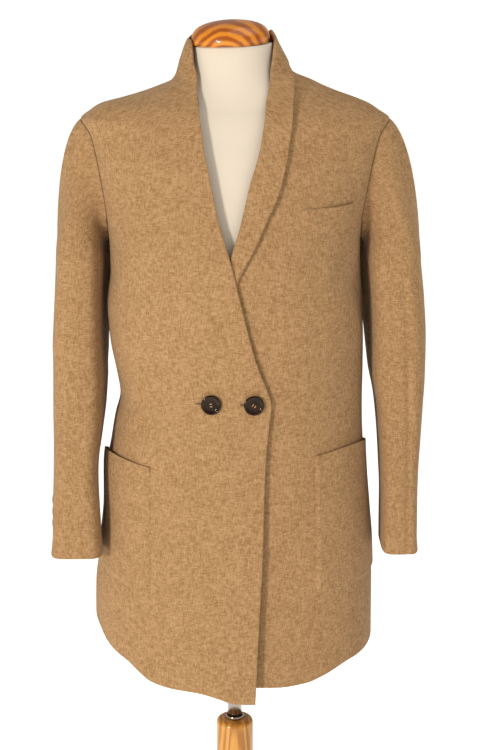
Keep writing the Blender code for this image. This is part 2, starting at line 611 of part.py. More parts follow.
def make_form(look):
    """Smooth torso with its neck, closed below, on the shoulder line."""
    turn = np.radians(np.linspace(0.0, 360.0, FORM_SIDES, endpoint=False))
    side = np.sin(turn)
    ahead = np.cos(turn)
    points = []
    heights = FORM[:, 0]
    for height in heights:
        wide = np.where(side < 0.0, curve(height, FORM, 1), curve(height, FORM, 2))
        deep = np.where(ahead > 0.0, curve(height, FORM, 3), curve(height, FORM, 4))
        reach = ((side / wide) ** 2 + (ahead / deep) ** 2) ** -0.5
        lean = NECK_TILT * smooth((height - 1.40) / 0.05)
        x = reach * side
        points += list(np.stack([x, RIDGE_Y - reach * ahead, height + lean * x], axis=-1))
    count = len(heights)
    faces = grid_faces(count, FORM_SIDES, 0, False, True)
    foot = len(points)
    points.append((0.0, RIDGE_Y, FORM_BOTTOM))
    points.append((-0.006, RIDGE_Y, NECK_TOP - 0.006 * NECK_TILT))
    last = (count - 1) * FORM_SIDES
    for j in range(FORM_SIDES):
        k = (j + 1) % FORM_SIDES
        faces.append([foot, k, j])
        faces.append([foot + 1, last + j, last + k])
    return add_mesh("form_torso", points, faces, look)


def make_stand(wood, metal):
    """Neck cap, pole with its ring, turned post and round base."""
    cap = [(0.0, 0.0), (0.0508, 0.0), (0.0524, 0.0027), (0.0528, 0.0075), (0.0515, 0.0141),
           (0.0468, 0.0212), (0.0375, 0.0269), (0.0220, 0.0309), (0.0, 0.0325)]
    add_lathe("neck_cap", cap, (-0.0061, 0.0045, NECK_TOP + GAP), wood, 32, tilt=NECK_TILT)
    low = POST_TOP + GAP
    pole = [(0.0, 0.0), (POLE_RADIUS, 0.0), (POLE_RADIUS, 0.14), (POLE_RADIUS, FORM_BOTTOM - GAP - low),
            (0.0, FORM_BOTTOM - GAP - low)]
    add_lathe("pole", pole, (STAND_X, 0.0, low), metal, 20)
    post_low = BASE_HEIGHT + GAP
    tall = POST_TOP - post_low
    post = [(0.0, 0.0), (POST_RADIUS, 0.0), (POST_RADIUS, 0.20), (POST_RADIUS, tall - 0.006),
            (POST_RADIUS - 0.0018, tall - 0.0018), (POST_RADIUS - 0.006, tall), (0.0, tall)]
    add_lathe("post", post, (STAND_X, 0.0, post_low), wood, 28)
    base = [(0.0, 0.0), (BASE_RADIUS - 0.004, 0.0), (BASE_RADIUS, 0.004), (BASE_RADIUS, 0.019),
            (BASE_RADIUS - 0.004, 0.0265), (BASE_RADIUS - 0.014, BASE_HEIGHT), (0.0, BASE_HEIGHT)]
    add_lathe("base", base, (0.0, 0.0, 0.0), wood, 36)


def make_collar_ring(metal):
    """Flat metal ring round the foot of the pole, clear of it."""
    inner = POLE_RADIUS + GAP
    outer = inner + 0.0028
    section = [(inner, 0.0), (outer, 0.0), (outer, 0.0030), (inner, 0.0045)]
    turn = np.linspace(0.0, 2.0 * math.pi, 20, endpoint=False)
    low = POST_TOP + 2.0 * GAP
    points = []
    for radius, height in section:
        ring = np.stack([STAND_X + radius * np.cos(turn), radius * np.sin(turn),
                         low + height + 0.0 * turn], axis=-1)
        points += list(ring)
    faces = []
    for part in range(4):
        for j in range(20):
            k = (j + 1) % 20
            a = part * 20
            b = ((part + 1) % 4) * 20
            faces.append([a + j, b + j, b + k, a + k][::-1])
    return add_mesh("pole_ring", points, faces, metal)


def make_button(name, spot, normal, radius, thick, look, sides):
    """Round button with a raised rim and a dished middle, just off the cloth."""
    profile = [(0.0, 0.0), (0.62 * radius, 0.0), (0.93 * radius, 0.28 * thick),
               (radius, 0.62 * thick), (0.93 * radius, thick), (0.78 * radius, 0.98 * thick),
               (0.66 * radius, 0.74 * thick), (0.0, 0.70 * thick)]
    return add_lathe(name, profile, spot, look, sides, axis=normal)


def make_front_buttons(look):
    """Two buttons through the overlap at the waist."""
    for name, degrees in (("button_right", -12.6), ("button_left", 10.1)):
        lift = float(over_lift(degrees, BUTTON_HEIGHT)) + BUTTON_OFF
        spot = on_body(degrees, BUTTON_HEIGHT, lift)
        normal = body_normal(degrees, BUTTON_HEIGHT) * np.array([1.0, 1.0, BUTTON_TIP])
        make_button(name, spot, normal, BUTTON_RADIUS, BUTTON_THICK, look, 24)


def make_cuff_buttons(look):
    """Three small buttons at the outer back of each cuff."""
    for side, word in ((-1.0, "right"), (1.0, "left")):
        for number, height in enumerate((0.8290, 0.8125, 0.7960)):
            deep, low, high, middle_y, tuck = sleeve_sizes(side, height)
            angle = math.radians(CUFF_BUTTON_TURN[side])
            power = squareness(height)
            half = 0.5 * (high - low)
            total = (math.cos(angle) / half) ** power + (-math.sin(angle) / deep) ** power
            reach = total ** (-1.0 / power)
            steep_x = (math.cos(angle) * reach / half) ** (power - 1.0) / half
            steep_y = (-math.sin(angle) * reach / deep) ** (power - 1.0) / deep
            normal = np.array([side * steep_x, steep_y, 0.0])
            normal = normal / np.linalg.norm(normal)
            turned = float(tucked(tuck, math.cos(angle), math.sin(angle))) * reach
            spot = np.array([side * (0.5 * (low + high) + reach * math.cos(angle) + turned),
                             middle_y - reach * math.sin(angle), height])
            make_button(f"cuff_button_{word}_{number + 1}", spot + CUFF_BUTTON_OFF * normal,
                        normal, CUFF_BUTTON_RADIUS, CUFF_BUTTON_THICK, look, 10)


def build():
    """Make every piece of the blazer, its dress form and the stand."""
    wool = material("camel_wool", (0.47, 0.30, 0.15), 0.95, sheen=0.3)
    jersey = material("cream_jersey", (0.86, 0.82, 0.72), 0.9)
    wood = material("varnished_wood", (0.55, 0.26, 0.08), 0.25)
    chrome = material("chrome", (0.80, 0.80, 0.82), 0.12, metal=1.0)
    horn = material("button_dark", (0.02, 0.014, 0.011), 0.18)
    make_front_right(wool)
    make_front_left(wool)
    make_back(wool)
    make_collar_back(wool)
    make_lapel(wool)
    make_sleeve("sleeve_right", -1.0, wool)
    make_sleeve("sleeve_left", 1.0, wool)
    patch("pocket_right", POCKET_RIGHT, over_lift, 0.0055, (-80.0, 20.0), wool)
    patch("pocket_left", POCKET_LEFT, flat_under, 0.0030, (74.0, 22.0), wool)
    patch("breast_welt", WELT, flat_under, 0.0022, (58.0, 8.0), wool, rows=4)
    make_front_buttons(horn)
    make_cuff_buttons(horn)
    make_form(jersey)
    make_stand(wood, chrome)
    make_collar_ring(chrome)


build()
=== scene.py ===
import math

import bpy
import numpy as np
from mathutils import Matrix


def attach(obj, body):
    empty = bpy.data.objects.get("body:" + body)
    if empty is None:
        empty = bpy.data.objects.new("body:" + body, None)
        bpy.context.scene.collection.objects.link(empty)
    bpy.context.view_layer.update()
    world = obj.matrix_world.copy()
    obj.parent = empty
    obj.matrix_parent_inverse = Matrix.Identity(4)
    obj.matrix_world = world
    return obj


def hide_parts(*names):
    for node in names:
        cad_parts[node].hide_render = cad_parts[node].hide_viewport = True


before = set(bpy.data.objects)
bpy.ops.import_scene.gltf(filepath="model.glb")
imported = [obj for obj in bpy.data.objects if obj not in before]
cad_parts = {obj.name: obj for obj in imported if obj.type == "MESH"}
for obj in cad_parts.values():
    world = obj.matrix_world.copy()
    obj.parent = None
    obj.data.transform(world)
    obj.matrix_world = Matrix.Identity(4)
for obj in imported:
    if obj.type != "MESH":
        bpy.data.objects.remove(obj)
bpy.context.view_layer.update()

# ------------------------------------------------------------
# Studio: a white floor that runs back past the view, a small key light at the front left,
# a weak fill at the front right and a broad light overhead, and the camera a little above
# the collar, looking down at the waist.


def put_in_scene(name, data):
    """New object in the scene that shows a mesh, a lamp or a camera."""
    made = bpy.data.objects.new(name, data)
    bpy.context.scene.collection.objects.link(made)
    return made


def feed(socket, value):
    """Link a socket from another one, or set it to a number, a place or a colour."""
    if isinstance(value, bpy.types.NodeSocket):
        socket.id_data.links.new(value, socket)
    else:
        socket.default_value = (*value, 1.0) if socket.type == "RGBA" else value


def fill_in(node, **values):
    """Feed the inputs of a node by their names, each written with _ for a space."""
    for name, value in values.items():
        feed(node.inputs[name.replace("_", " ")], value)
    return node


def new_look(name, **values):
    """Material on one Principled shader with these inputs, and that shader."""
    look = bpy.data.materials.new(name)
    look.use_nodes = True
    return look, fill_in(look.node_tree.nodes["Principled BSDF"], **values)


look_down = 15.05     # degrees below level
camera_data = bpy.data.cameras.new("camera")
camera_data.sensor_fit = "VERTICAL"
camera_data.sensor_height = 36.0
camera_data.lens = 85.0
camera_data.clip_end = 200.0
camera = put_in_scene("camera", camera_data)
camera.location = (0.020, -2.400, 1.649)
camera.rotation_euler = (math.radians(90.0 - look_down), 0.0, 0.0)
bpy.context.scene.camera = camera
bpy.context.scene.view_settings.view_transform = "Standard"

air = bpy.data.worlds.new("studio air")
air.use_nodes = True
fill_in(air.node_tree.nodes["Background"], Color=(1.0, 0.93, 0.84), Strength=0.40)
bpy.context.scene.world = air

# Square lamps, each turned to face the point that it lights
for name, place, aim, size, watts, colour in (
        ("key softbox", (-1.95, -2.72, 1.35), (0.0, 0.0, 0.90), 0.42, 81.0, (1.0, 0.97, 0.93)),
        ("fill softbox", (1.9, -2.8, 1.7), (0.0, 0.0, 1.00), 1.4, 4.0, (1.0, 0.98, 0.96)),
        ("overhead softbox", (0.9, -0.4, 3.1), (0.05, 0.0, 1.30), 2.2, 26.0, (1.0, 0.99, 0.97))):
    lamp = bpy.data.lights.new(name, "AREA")
    lamp.size, lamp.energy, lamp.color = size, watts, colour
    box = put_in_scene(name, lamp)
    right, back, up = np.array(aim) - np.array(place)
    box.rotation_euler = (math.atan2(math.hypot(right, back), -up), 0.0, math.atan2(-right, back))
    box.location = place

far = 60.0
floor_mesh = bpy.data.meshes.new("floor")
floor_mesh.from_pydata([(-far, -far, 0), (far, -far, 0), (far, far, 0), (-far, far, 0)],
                       [], [(0, 1, 2, 3)])
paper = new_look("white paper floor", Base_Color=(0.90, 0.90, 0.89), Roughness=0.9,
                 Emission_Color=(1.0, 1.0, 0.99), Emission_Strength=0.74)
floor_mesh.materials.append(paper[0])
floor = put_in_scene("floor", floor_mesh)

# ------------------------------------------------------------
# Right front: the overlapping half of the blazer with its standing collar cut on. It is
# a heavy camel wool in two shades of yarn, its free edge standing a little off, its side
# meeting the back, and it hangs from the shoulder over the dress form.
cloth = 0.0022        # thickness of the wool
seam_gap = 0.0003     # space between neighbouring panels
ridge_y = 0.008       # depth of the shoulder seam line
side_seam = 95.0      # degrees round from the centre front
hem_top = 0.758       # rows below this height follow the hem
underarm = 1.195
shoulder_tip = 1.362
neck_seam = 1.426
collar_end = 1.4685   # last row of the right front
grain_level = 1.28    # chest height where the weft lies level

# Body under the cloth: height, half widths toward -X and +X, front and back depth, squareness
sections = np.array([
    (0.540, 0.2045, 0.1975, 0.1500, 0.1320, 2.30),
    (0.660, 0.2035, 0.1958, 0.1480, 0.1300, 2.30),
    (0.700, 0.2025, 0.1955, 0.1470, 0.1280, 2.30),
    (0.758, 0.1943, 0.1937, 0.1460, 0.1240, 2.30),
    (0.811, 0.1875, 0.1890, 0.1450, 0.1190, 2.30),
    (0.880, 0.1825, 0.1825, 0.1430, 0.1100, 2.30),
    (0.912, 0.1765, 0.1798, 0.1420, 0.1050, 2.30),
    (0.946, 0.1706, 0.1780, 0.1410, 0.1000, 2.30),
    (0.982, 0.1622, 0.1775, 0.1400, 0.0970, 2.30),
    (1.011, 0.1658, 0.1778, 0.1400, 0.0950, 2.30),
    (1.060, 0.1745, 0.1778, 0.1400, 0.0940, 2.30),
    (1.111, 0.1782, 0.1770, 0.1410, 0.0970, 2.28),
    (1.160, 0.1728, 0.1725, 0.1410, 0.1000, 2.24),
    (1.195, 0.1735, 0.1715, 0.1380, 0.1020, 2.20),
    (1.230, 0.1780, 0.1760, 0.1320, 0.1030, 2.15),
    (1.270, 0.1860, 0.1850, 0.1230, 0.1020, 2.12),
    (1.310, 0.1945, 0.1945, 0.1120, 0.0990, 2.08),
    (1.345, 0.2035, 0.2040, 0.0980, 0.0920, 2.05),
    (1.362, 0.2092, 0.2090, 0.0900, 0.0860, 2.00),
    (1.374, 0.1960, 0.1940, 0.0830, 0.0810, 2.00),
    (1.382, 0.1830, 0.1818, 0.0770, 0.0780, 2.00),
    (1.390, 0.1535, 0.1628, 0.0705, 0.0745, 2.00),
    (1.398, 0.1262, 0.1400, 0.0655, 0.0715, 2.00),
    (1.406, 0.1040, 0.1200, 0.0610, 0.0690, 2.00),
    (1.414, 0.0858, 0.1033, 0.0575, 0.0670, 2.00),
    (1.422, 0.0802, 0.0830, 0.0545, 0.0655, 2.00),
    (1.430, 0.0774, 0.0712, 0.0520, 0.0645, 2.00),
    (1.440, 0.0745, 0.0655, 0.0495, 0.0635, 2.00),
    (1.450, 0.0710, 0.0605, 0.0475, 0.0625, 2.00),
    (1.462, 0.0665, 0.0555, 0.0460, 0.0615, 2.00),
    (1.470, 0.0625, 0.0525, 0.0450, 0.0610, 2.00),
    (1.480, 0.0590, 0.0480, 0.0440, 0.0600, 2.00),
])

# Free edge of the right front: height, degrees, stand-off from the body
over_edge = np.array([
    (0.56, 10, 0.014), (0.67, 11.9, 0.0125), (0.776, 14.1, 0.0105), (0.909, 15.9, 0.0085),
    (0.968, 18, 0.0075), (0.997, 19.2, 0.007), (1.02, 16.7, 0.007), (1.057, 11.3, 0.007),
    (1.089, 7.8, 0.007), (1.143, 2.6, 0.007), (1.188, -1.8, 0.007), (1.24, -8.7, 0.0064),
    (1.272, -12.5, 0.006), (1.301, -16.1, 0.0055), (1.329, -20.7, 0.005),
    (1.357, -25.5, 0.0045), (1.384, -32.6, 0.004), (1.403, -40.7, 0.0035), (1.423, -49, 0.003),
    (1.442, -58.2, 0.0025), (1.455, -62.8, 0.002), (1.464, -67.6, 0.0016), (1.47, -75, 0.0014),
])
lap_span = 45.0       # degrees over which the overlap rises to its edge at the chest
lap_more = 35.0       # and how many more it takes lower down
lap_high = 1.30       # height where it begins to take more
lap_fade = 0.14       # and over how many metres

# Hem of the right front and of the back's right half: degrees round, height
hem_right = np.array([
    (-180, 0.622), (-140, 0.632), (-110, 0.65), (-90, 0.655), (-74, 0.646), (-67, 0.633),
    (-60, 0.623), (-53, 0.616), (-46, 0.603), (-41, 0.5945), (-33, 0.59), (-17, 0.5865),
    (-6, 0.5797), (1, 0.5737), (10, 0.5722), (24, 0.5722),
])

# Armhole: height, degrees at the front edge and at the back edge, both sides
armhole_rows = np.array([
    (1.195, 95, 95), (1.201, 88, 103), (1.21, 84, 107), (1.224, 80.5, 110), (1.246, 78.5, 112),
    (1.27, 78.3, 112), (1.294, 78.7, 111), (1.316, 79.5, 109), (1.334, 80.5, 106),
    (1.348, 82.2, 102), (1.357, 85.2, 96.5), (1.362, 90, 90),
])
armhole_degree = 0.0032   # metres of seam in one degree round, near the armhole

# Folds of the worn cloth, one to a row: degrees round, height, half width in
# degrees, half height, lean in degrees per metre, depth (below zero for a trough)
creases = np.array([
    (50, 1.165, 2.6, 0.03, -60, 0.0016), (73, 1.135, 9, 0.04, -160, -0.006),
    (30, 1.06, 12, 0.06, 90, 0.002), (-62, 1.09, 12, 0.06, 120, 0.0022),
    (-40, 1.01, 9, 0.07, -60, -0.0022), (58, 1, 10, 0.06, 60, -0.0022),
    (-30, 0.7, 9, 0.12, 10, 0.0022), (32, 0.68, 8, 0.12, -8, -0.002),
    (150, 1.16, 14, 0.08, 60, -0.003), (206, 1.08, 12, 0.09, -70, 0.003),
    (172, 0.96, 10, 0.11, 20, -0.0026), (232, 1.23, 9, 0.07, 40, -0.0024),
    (160, 0.74, 9, 0.14, 6, 0.003), (200, 0.7, 9, 0.14, -8, 0.003),
    (-72, 1.185, 4, 0.055, 120, -0.0012), (-64, 1.15, 3.2, 0.034, 170, 0.0007),
    (66, 1.29, 3.4, 0.05, -40, -0.0011), (58, 1.335, 5.5, 0.024, -60, 0.0008),
    (-24, 1.13, 4.2, 0.06, 110, 0.0008), (-52, 0.94, 4.6, 0.045, 150, -0.001),
    (-8, 0.86, 5, 0.085, -16, -0.0008), (42, 1.085, 3.4, 0.035, 150, -0.0009),
    (70, 0.985, 4.2, 0.048, -130, 0.001), (-75, 1.01, 4, 0.038, 190, -0.0011),
    (128, 1.09, 5, 0.07, 170, -0.0014), (142, 1.005, 4.2, 0.05, 150, 0.0012),
    (226, 1.02, 5.4, 0.062, -160, -0.0013), (188, 1.29, 6, 0.045, 30, 0.001),
    (166, 1.335, 7.5, 0.03, -40, -0.001), (240, 0.905, 4.4, 0.07, -60, 0.0011),
])


def smooth(value):
    """Rise from 0 to 1 with level ends: 3 t squared less 2 t cubed."""
    part = np.clip(value, 0.0, 1.0)
    return part * part * (3.0 - 2.0 * part)


def hermite(t, start, leaving, end, arriving):
    """Cubic from start to end whose rates of change there are leaving and arriving."""
    return ((1.0 + 2.0 * t) * (1.0 - t) ** 2 * start + t * (1.0 - t) ** 2 * leaving
            + (t * t * (3.0 - 2.0 * t) * end + t * t * (t - 1.0) * arriving))


def curve(x, table, column):
    """Monotone cubic through one column of a table, against its rising first column.

    The slope at a row is the weighted harmonic mean of the slopes beside it, or none
    where these point opposite ways.
    """
    xs, ys = table[:, 0], table[:, column]
    step = np.diff(xs)
    slope = np.diff(ys) / step
    before, after = 2.0 * step[1:] + step[:-1], step[1:] + 2.0 * step[:-1]
    same_way = slope[:-1] * slope[1:] > 0.0
    low, high = np.where(same_way, slope[:-1], 1.0), np.where(same_way, slope[1:], 1.0)
    inner = np.where(same_way, (before + after) / (before / low + after / high), 0.0)
    tangent = np.concatenate([slope[:1], inner, slope[-1:]])
    x = np.asarray(x, float)
    i = np.clip(np.searchsorted(xs, x, side="right") - 1, 0, len(xs) - 2)
    t = np.clip((x - xs[i]) / step[i], 0.0, 1.0)
    return hermite(t, ys[i], step[i] * tangent[i], ys[i + 1], step[i] * tangent[i + 1])


def rounded(side, ahead, wide, deep, power):
    """Reach in one direction of the rounded section |x/a|^n + |y/b|^n = 1."""
    return (np.abs(side / wide) ** power + np.abs(ahead / deep) ** power) ** (-1.0 / power)


def table_reach(side, ahead, height, table, power):
    """Reach of a rounded section whose four half axes come from a table by height."""
    wide = np.where(side < 0.0, curve(height, table, 1), curve(height, table, 2))
    deep = np.where(ahead > 0.0, curve(height, table, 3), curve(height, table, 4))
    return rounded(side, ahead, wide, deep, power)


def body(degrees, height):
    """Point of the body under the cloth, by its angle round the ridge and its height."""
    angle = np.radians(np.asarray(degrees, float))
    height = np.asarray(height, float)
    side, ahead = np.sin(angle), np.cos(angle)
    reach = table_reach(side, ahead, height, sections, curve(height, sections, 5))
    return np.stack([reach * side, ridge_y - reach * ahead, height + 0.0 * reach], axis=-1)


def body_normal(degrees, height):
    """Outward normal of the body: a small step round crossed with a small step up."""
    around = body(degrees + 0.01, height) - body(degrees - 0.01, height)
    upward = body(degrees, height + 0.0001) - body(degrees, height - 0.0001)
    normal = np.cross(around, upward)
    return normal / np.linalg.norm(normal, axis=-1, keepdims=True)


def half_turn(degrees):
    """The same angle between -180 and 180 degrees."""
    return np.mod(degrees + 180.0, 360.0) - 180.0


def folds(degrees, height, rows=creases):
    """Sum of Gaussian ridges and troughs, each long one way and leaning a little."""
    total = 0.0 * (degrees + height)
    for middle, level, wide, tall, lean, depth in rows:
        across = half_turn(degrees - middle - lean * (height - level))
        total = total + depth * np.exp(-((across / wide) ** 2) - ((height - level) / tall) ** 2)
    return total


def on_body(degrees, height, out):
    """Body point moved out along the normal by the folds and by a further distance."""
    distance = np.asarray(folds(degrees, height) + out)[..., None]
    return body(degrees, height) + distance * body_normal(degrees, height)


def over_lift(degrees, height):
    """Stand-off of the right front: it rises smoothly toward the free edge."""
    span = lap_span + lap_more * smooth((lap_high - height) / lap_fade)
    edge = curve(height, over_edge, 1)
    return curve(height, over_edge, 2) * smooth((degrees - edge + span) / span)


def run_length(points, axis):
    """Distance run along one axis of a grid of points, from 0 at its start."""
    steps = np.linalg.norm(np.diff(points, axis=axis), axis=-1)
    return np.concatenate([0.0 * np.take(steps, [0], axis), np.cumsum(steps, axis=axis)], axis)


def armhole_loop(count, between=40):
    """Closed Catmull-Rom curve through the armhole rows, in even steps of length.

    Rows of degrees and height, from the shoulder tip down the front and up the back.
    """
    knots = np.concatenate([armhole_rows[::-1][:, [1, 0]], armhole_rows[1:-1][:, [2, 0]]])
    ahead = np.roll(knots, -1, axis=0)
    tangent = 0.5 * (ahead - np.roll(knots, 1, axis=0))
    t = np.linspace(0.0, 1.0, between, endpoint=False)[None, :, None]
    fine = hermite(t, knots[:, None], tangent[:, None], ahead[:, None],
                   np.roll(tangent, -1, axis=0)[:, None]).reshape(-1, 2)
    closed = np.concatenate([fine, fine[:1]])
    length = run_length(closed * np.array([armhole_degree, 1.0]), 0)
    foot = length[between * (len(armhole_rows) - 1)]
    half = count // 2
    wanted = np.concatenate([np.linspace(0.0, foot, half, endpoint=False),
                             np.linspace(foot, length[-1], count - half, endpoint=False)])
    return np.stack([np.interp(wanted, length, closed[:, k]) for k in (0, 1)], axis=1)


loop_points = 132
armhole_fine = armhole_loop(loop_points)
armhole_front = armhole_fine[: loop_points // 2 + 1][::-1]
armhole_back = np.concatenate([armhole_fine[loop_points // 2:], armhole_fine[:1]])
hem_rows, middle_rows, shoulder_rows, collar_rows = 38, 96, 46, 11    # from the hem up
seam_pass = 0.2 * seam_gap    # how far each of two sewn panels runs past their seam line


def seam_turn(degrees, height):
    """Turn from a panel's end to the seam line, below zero where the panel runs past it."""
    spot = body(degrees, height)
    return np.degrees(-seam_pass / np.hypot(spot[..., 0], spot[..., 1] - ridge_y))


def outer_side(height, back):
    """Degrees where a body panel ends: side seam, then armhole, then shoulder seam."""
    rim = armhole_back if back else armhole_front
    hole = np.interp(height, rim[:, 1], rim[:, 0])
    seam = np.where(height < underarm, side_seam, np.where(height < shoulder_tip, hole, 90.0))
    return seam + (1.0 if back else -1.0) * seam_turn(seam, height)


def panel_rows(top):
    """Heights of the level rows of a panel, closer where the armhole and shoulder turn."""
    rows = [np.linspace(hem_top, underarm, middle_rows)[:-1], armhole_front[:, 1],
            np.linspace(shoulder_tip, neck_seam, shoulder_rows)[1:]]
    if top > neck_seam:
        rows.append(np.linspace(neck_seam, top, collar_rows)[1:])
    return np.concatenate(rows)


def panel(starts, ends, columns, heights, hem):
    """Angles and heights over a panel: level rows above, rows bent to the hem below."""
    share = np.linspace(0.0, 1.0, columns)
    upper = starts[:, None] * (1.0 - share) + ends[:, None] * share
    foot = curve(upper[0], hem, 1)
    below = foot + (hem_top - foot) * np.linspace(0.0, 1.0, hem_rows)[:-1, None]
    turns = np.concatenate([upper[0] + 0.0 * below, upper])
    return turns, np.concatenate([below, heights[:, None] + 0.0 * upper])


def follow_edge(turns, levels, edge, column):
    """Slide each row so that its end keeps to the table of the free edge."""
    shift = curve(levels[:, column], edge, 1) - turns[:, column]
    share = np.linspace(0.0, 1.0, turns.shape[1])
    return turns + shift[:, None] * (share[::-1] if column == 0 else share)


def unit(vectors):
    """Vectors scaled to length one."""
    return vectors / np.maximum(np.linalg.norm(vectors, axis=-1, keepdims=True), 1e-12)


def grid_normals(face, tube):
    """Unit normals of a grid: difference across crossed with difference along."""
    across = np.gradient(face, axis=1)
    if tube:
        across[:, 0] = across[:, -1] = 0.5 * (face[:, 1] - face[:, -2])
    return unit(np.cross(across, np.gradient(face, axis=0)))


def cloth_lengths(face, tube=False):
    """Cloth distances over a grid: across from the middle column, and along from row 0.

    On a tube every column keeps the distance across that it has half way up.
    """
    across = run_length(face, 1)
    across -= across[:, [face.shape[1] // 2]]
    if tube:
        across[:] = across[len(face) // 2]
    return np.stack([across, run_length(face, 0)], axis=-1)


def plumb_lengths(face, middle):
    """Cloth distances of a panel whose grain hangs plumb: round the body from one angle at
    the point's own height, and up the body from the chest at that one angle.
    """
    height = np.clip(face[..., 2], sections[0, 0], sections[-1, 0])
    degrees = half_turn(np.degrees(np.arctan2(face[..., 0], ridge_y - face[..., 1])) - middle)
    share = np.linspace(0.0, 1.0, 13)[:, None, None]
    round_it = body(middle + share * degrees, height + 0.0 * share)
    up_it = body(middle, grain_level + share * (height - grain_level))
    return np.stack([run_length(round_it, 0)[-1] * np.sign(degrees),
                     run_length(up_it, 0)[-1] * np.sign(height - grain_level)], axis=-1)


def put_mesh(name, points, faces, look, corner_uv=None):
    """Smooth mesh object from points and faces, with its cloth lengths as a UV map."""
    mesh = bpy.data.meshes.new(name)
    mesh.from_pydata(points.tolist(), [], faces)
    mesh.polygons.foreach_set("use_smooth", np.ones(len(faces), bool))
    if corner_uv is not None:
        layer = mesh.uv_layers.new(name="cloth lengths")
        layer.data.foreach_set("uv", corner_uv.astype(np.float32).ravel())
    mesh.materials.append(look)
    mesh.update()
    return put_in_scene(name, mesh)


def squares(grid):
    """The four corners of every square of a grid, in order round it."""
    return np.stack([grid[:-1, :-1], grid[:-1, 1:], grid[1:, 1:], grid[1:, :-1]], axis=2)


edge_steps = 3        # rows of points over the half round of an edge


def cloth_shell(name, face, plumb_at=None, thick=cloth):
    """Closed camel cloth from its outer grid.

    The inner face is the grid moved in along its normals by the thickness. A half round
    of that thickness joins the two along every raw or turned edge, just inside the line
    of the edge. The grain hangs plumb at the given angle. Without one the grid is a tube,
    whose last column repeats its first, and the grain runs along it.
    """
    face = face.copy()
    tube = plumb_at is None
    rows, columns = face.shape[:2]
    ring = columns - 1 if tube else columns
    normal = grid_normals(face, tube)
    lengths = cloth_lengths(face, True) if tube else plumb_lengths(face, plumb_at)
    inside = face - thick * normal
    at = np.stack(np.meshgrid(np.arange(rows), np.arange(columns), indexing="ij"), axis=-1)
    number = at[..., 0] * ring + at[..., 1] % ring
    foot, head = at[0], at[-1, ::-1]
    loops = [foot, head]
    if not tube:
        loops = [np.concatenate([foot, at[1:, -1], head[1:], at[-2::-1, 0]])]
    corner, uv = squares(number).reshape(-1, 4), squares(lengths).reshape(-1, 4, 2)
    quads, uvs, rims = [corner, corner[:, ::-1] + rows * ring], [uv, uv[:, ::-1]], []
    first = 2 * rows * ring
    radius = 0.5 * thick
    turn = (np.pi * np.arange(1, edge_steps + 1) / (edge_steps + 1))[:, None, None]
    for loop in loops:
        row, column = loop.T
        spots, up = face[row[:-1], column[:-1]], normal[row[:-1], column[:-1]]
        side = unit(np.cross(np.roll(spots, -1, axis=0) - np.roll(spots, 1, axis=0), up))
        side, up = np.concatenate([side, side[:1]]), np.concatenate([up, up[:1]])
        pulled = face[row, column] - radius * side
        face[row, column] = pulled
        inside[row, column] = pulled - thick * up
        rim = pulled - radius * up + radius * np.cos(turn) * up + radius * np.sin(turn) * side
        rims.append(rim[:, :-1].reshape(-1, 3))
        count = len(loop) - 1
        own = number[row, column][None]
        between = first + np.arange(edge_steps)[:, None] * count + np.arange(count + 1) % count
        rings = np.concatenate([own, between, own + rows * ring])
        flat = lengths[row, column]
        away = math.pi * radius * unit(flat - lengths.mean(axis=(0, 1)))
        flat = flat + np.linspace(0.0, 1.0, edge_steps + 2)[:, None, None] * away
        quads.append(squares(rings)[:, :, [1, 0, 3, 2]].reshape(-1, 4))
        uvs.append(squares(flat)[:, :, [1, 0, 3, 2]].reshape(-1, 4, 2))
        first += edge_steps * count
    outer, inner = face[:, :ring].reshape(-1, 3), inside[:, :ring].reshape(-1, 3)
    points = np.concatenate([outer, inner] + rims)
    return put_mesh(name, points, np.concatenate(quads).tolist(), camel, np.concatenate(uvs))


def state_cut(face):
    """Work out the cloth lengths over a piece's grid; nothing further is done with them."""
    lengths = cloth_lengths(face)


def add_node(tree, kind, output, settings=(), **values):
    """New node with these settings and inputs; returned is its output of that name."""
    node = tree.nodes.new(kind)
    for name, value in dict(settings).items():
        setattr(node, name, value)
    return fill_in(node, **values).outputs[output]


def raised(height, strength, distance):
    """Bumped normal from a height."""
    return add_node(height.id_data, "ShaderNodeBump", "Normal",
                    Height=height, Strength=strength, Distance=distance)


yarns_per_metre = 640.0
shade_changes = 120.0    # noise cells in a metre of one yarn
fibre_changes = 1500.0   # noise cells in a metre of loose fibre
yarn_apart = 5.37        # noise cells between one yarn and the next
dye_changes = (22.0, 30.0)    # noise cells in a metre of dye, across and along
# Shares of the shade: the yarn on top, both yarns, the loose fibre and the dye
top_share, yarn_share, fibre_share, dye_share = 0.22, 0.30, 0.13, 0.05
# Shares of the height: the rounded yarn, the loose fibre and the shade
hump_rise, fibre_rise, shade_rise = 0.30, 0.40, 0.80


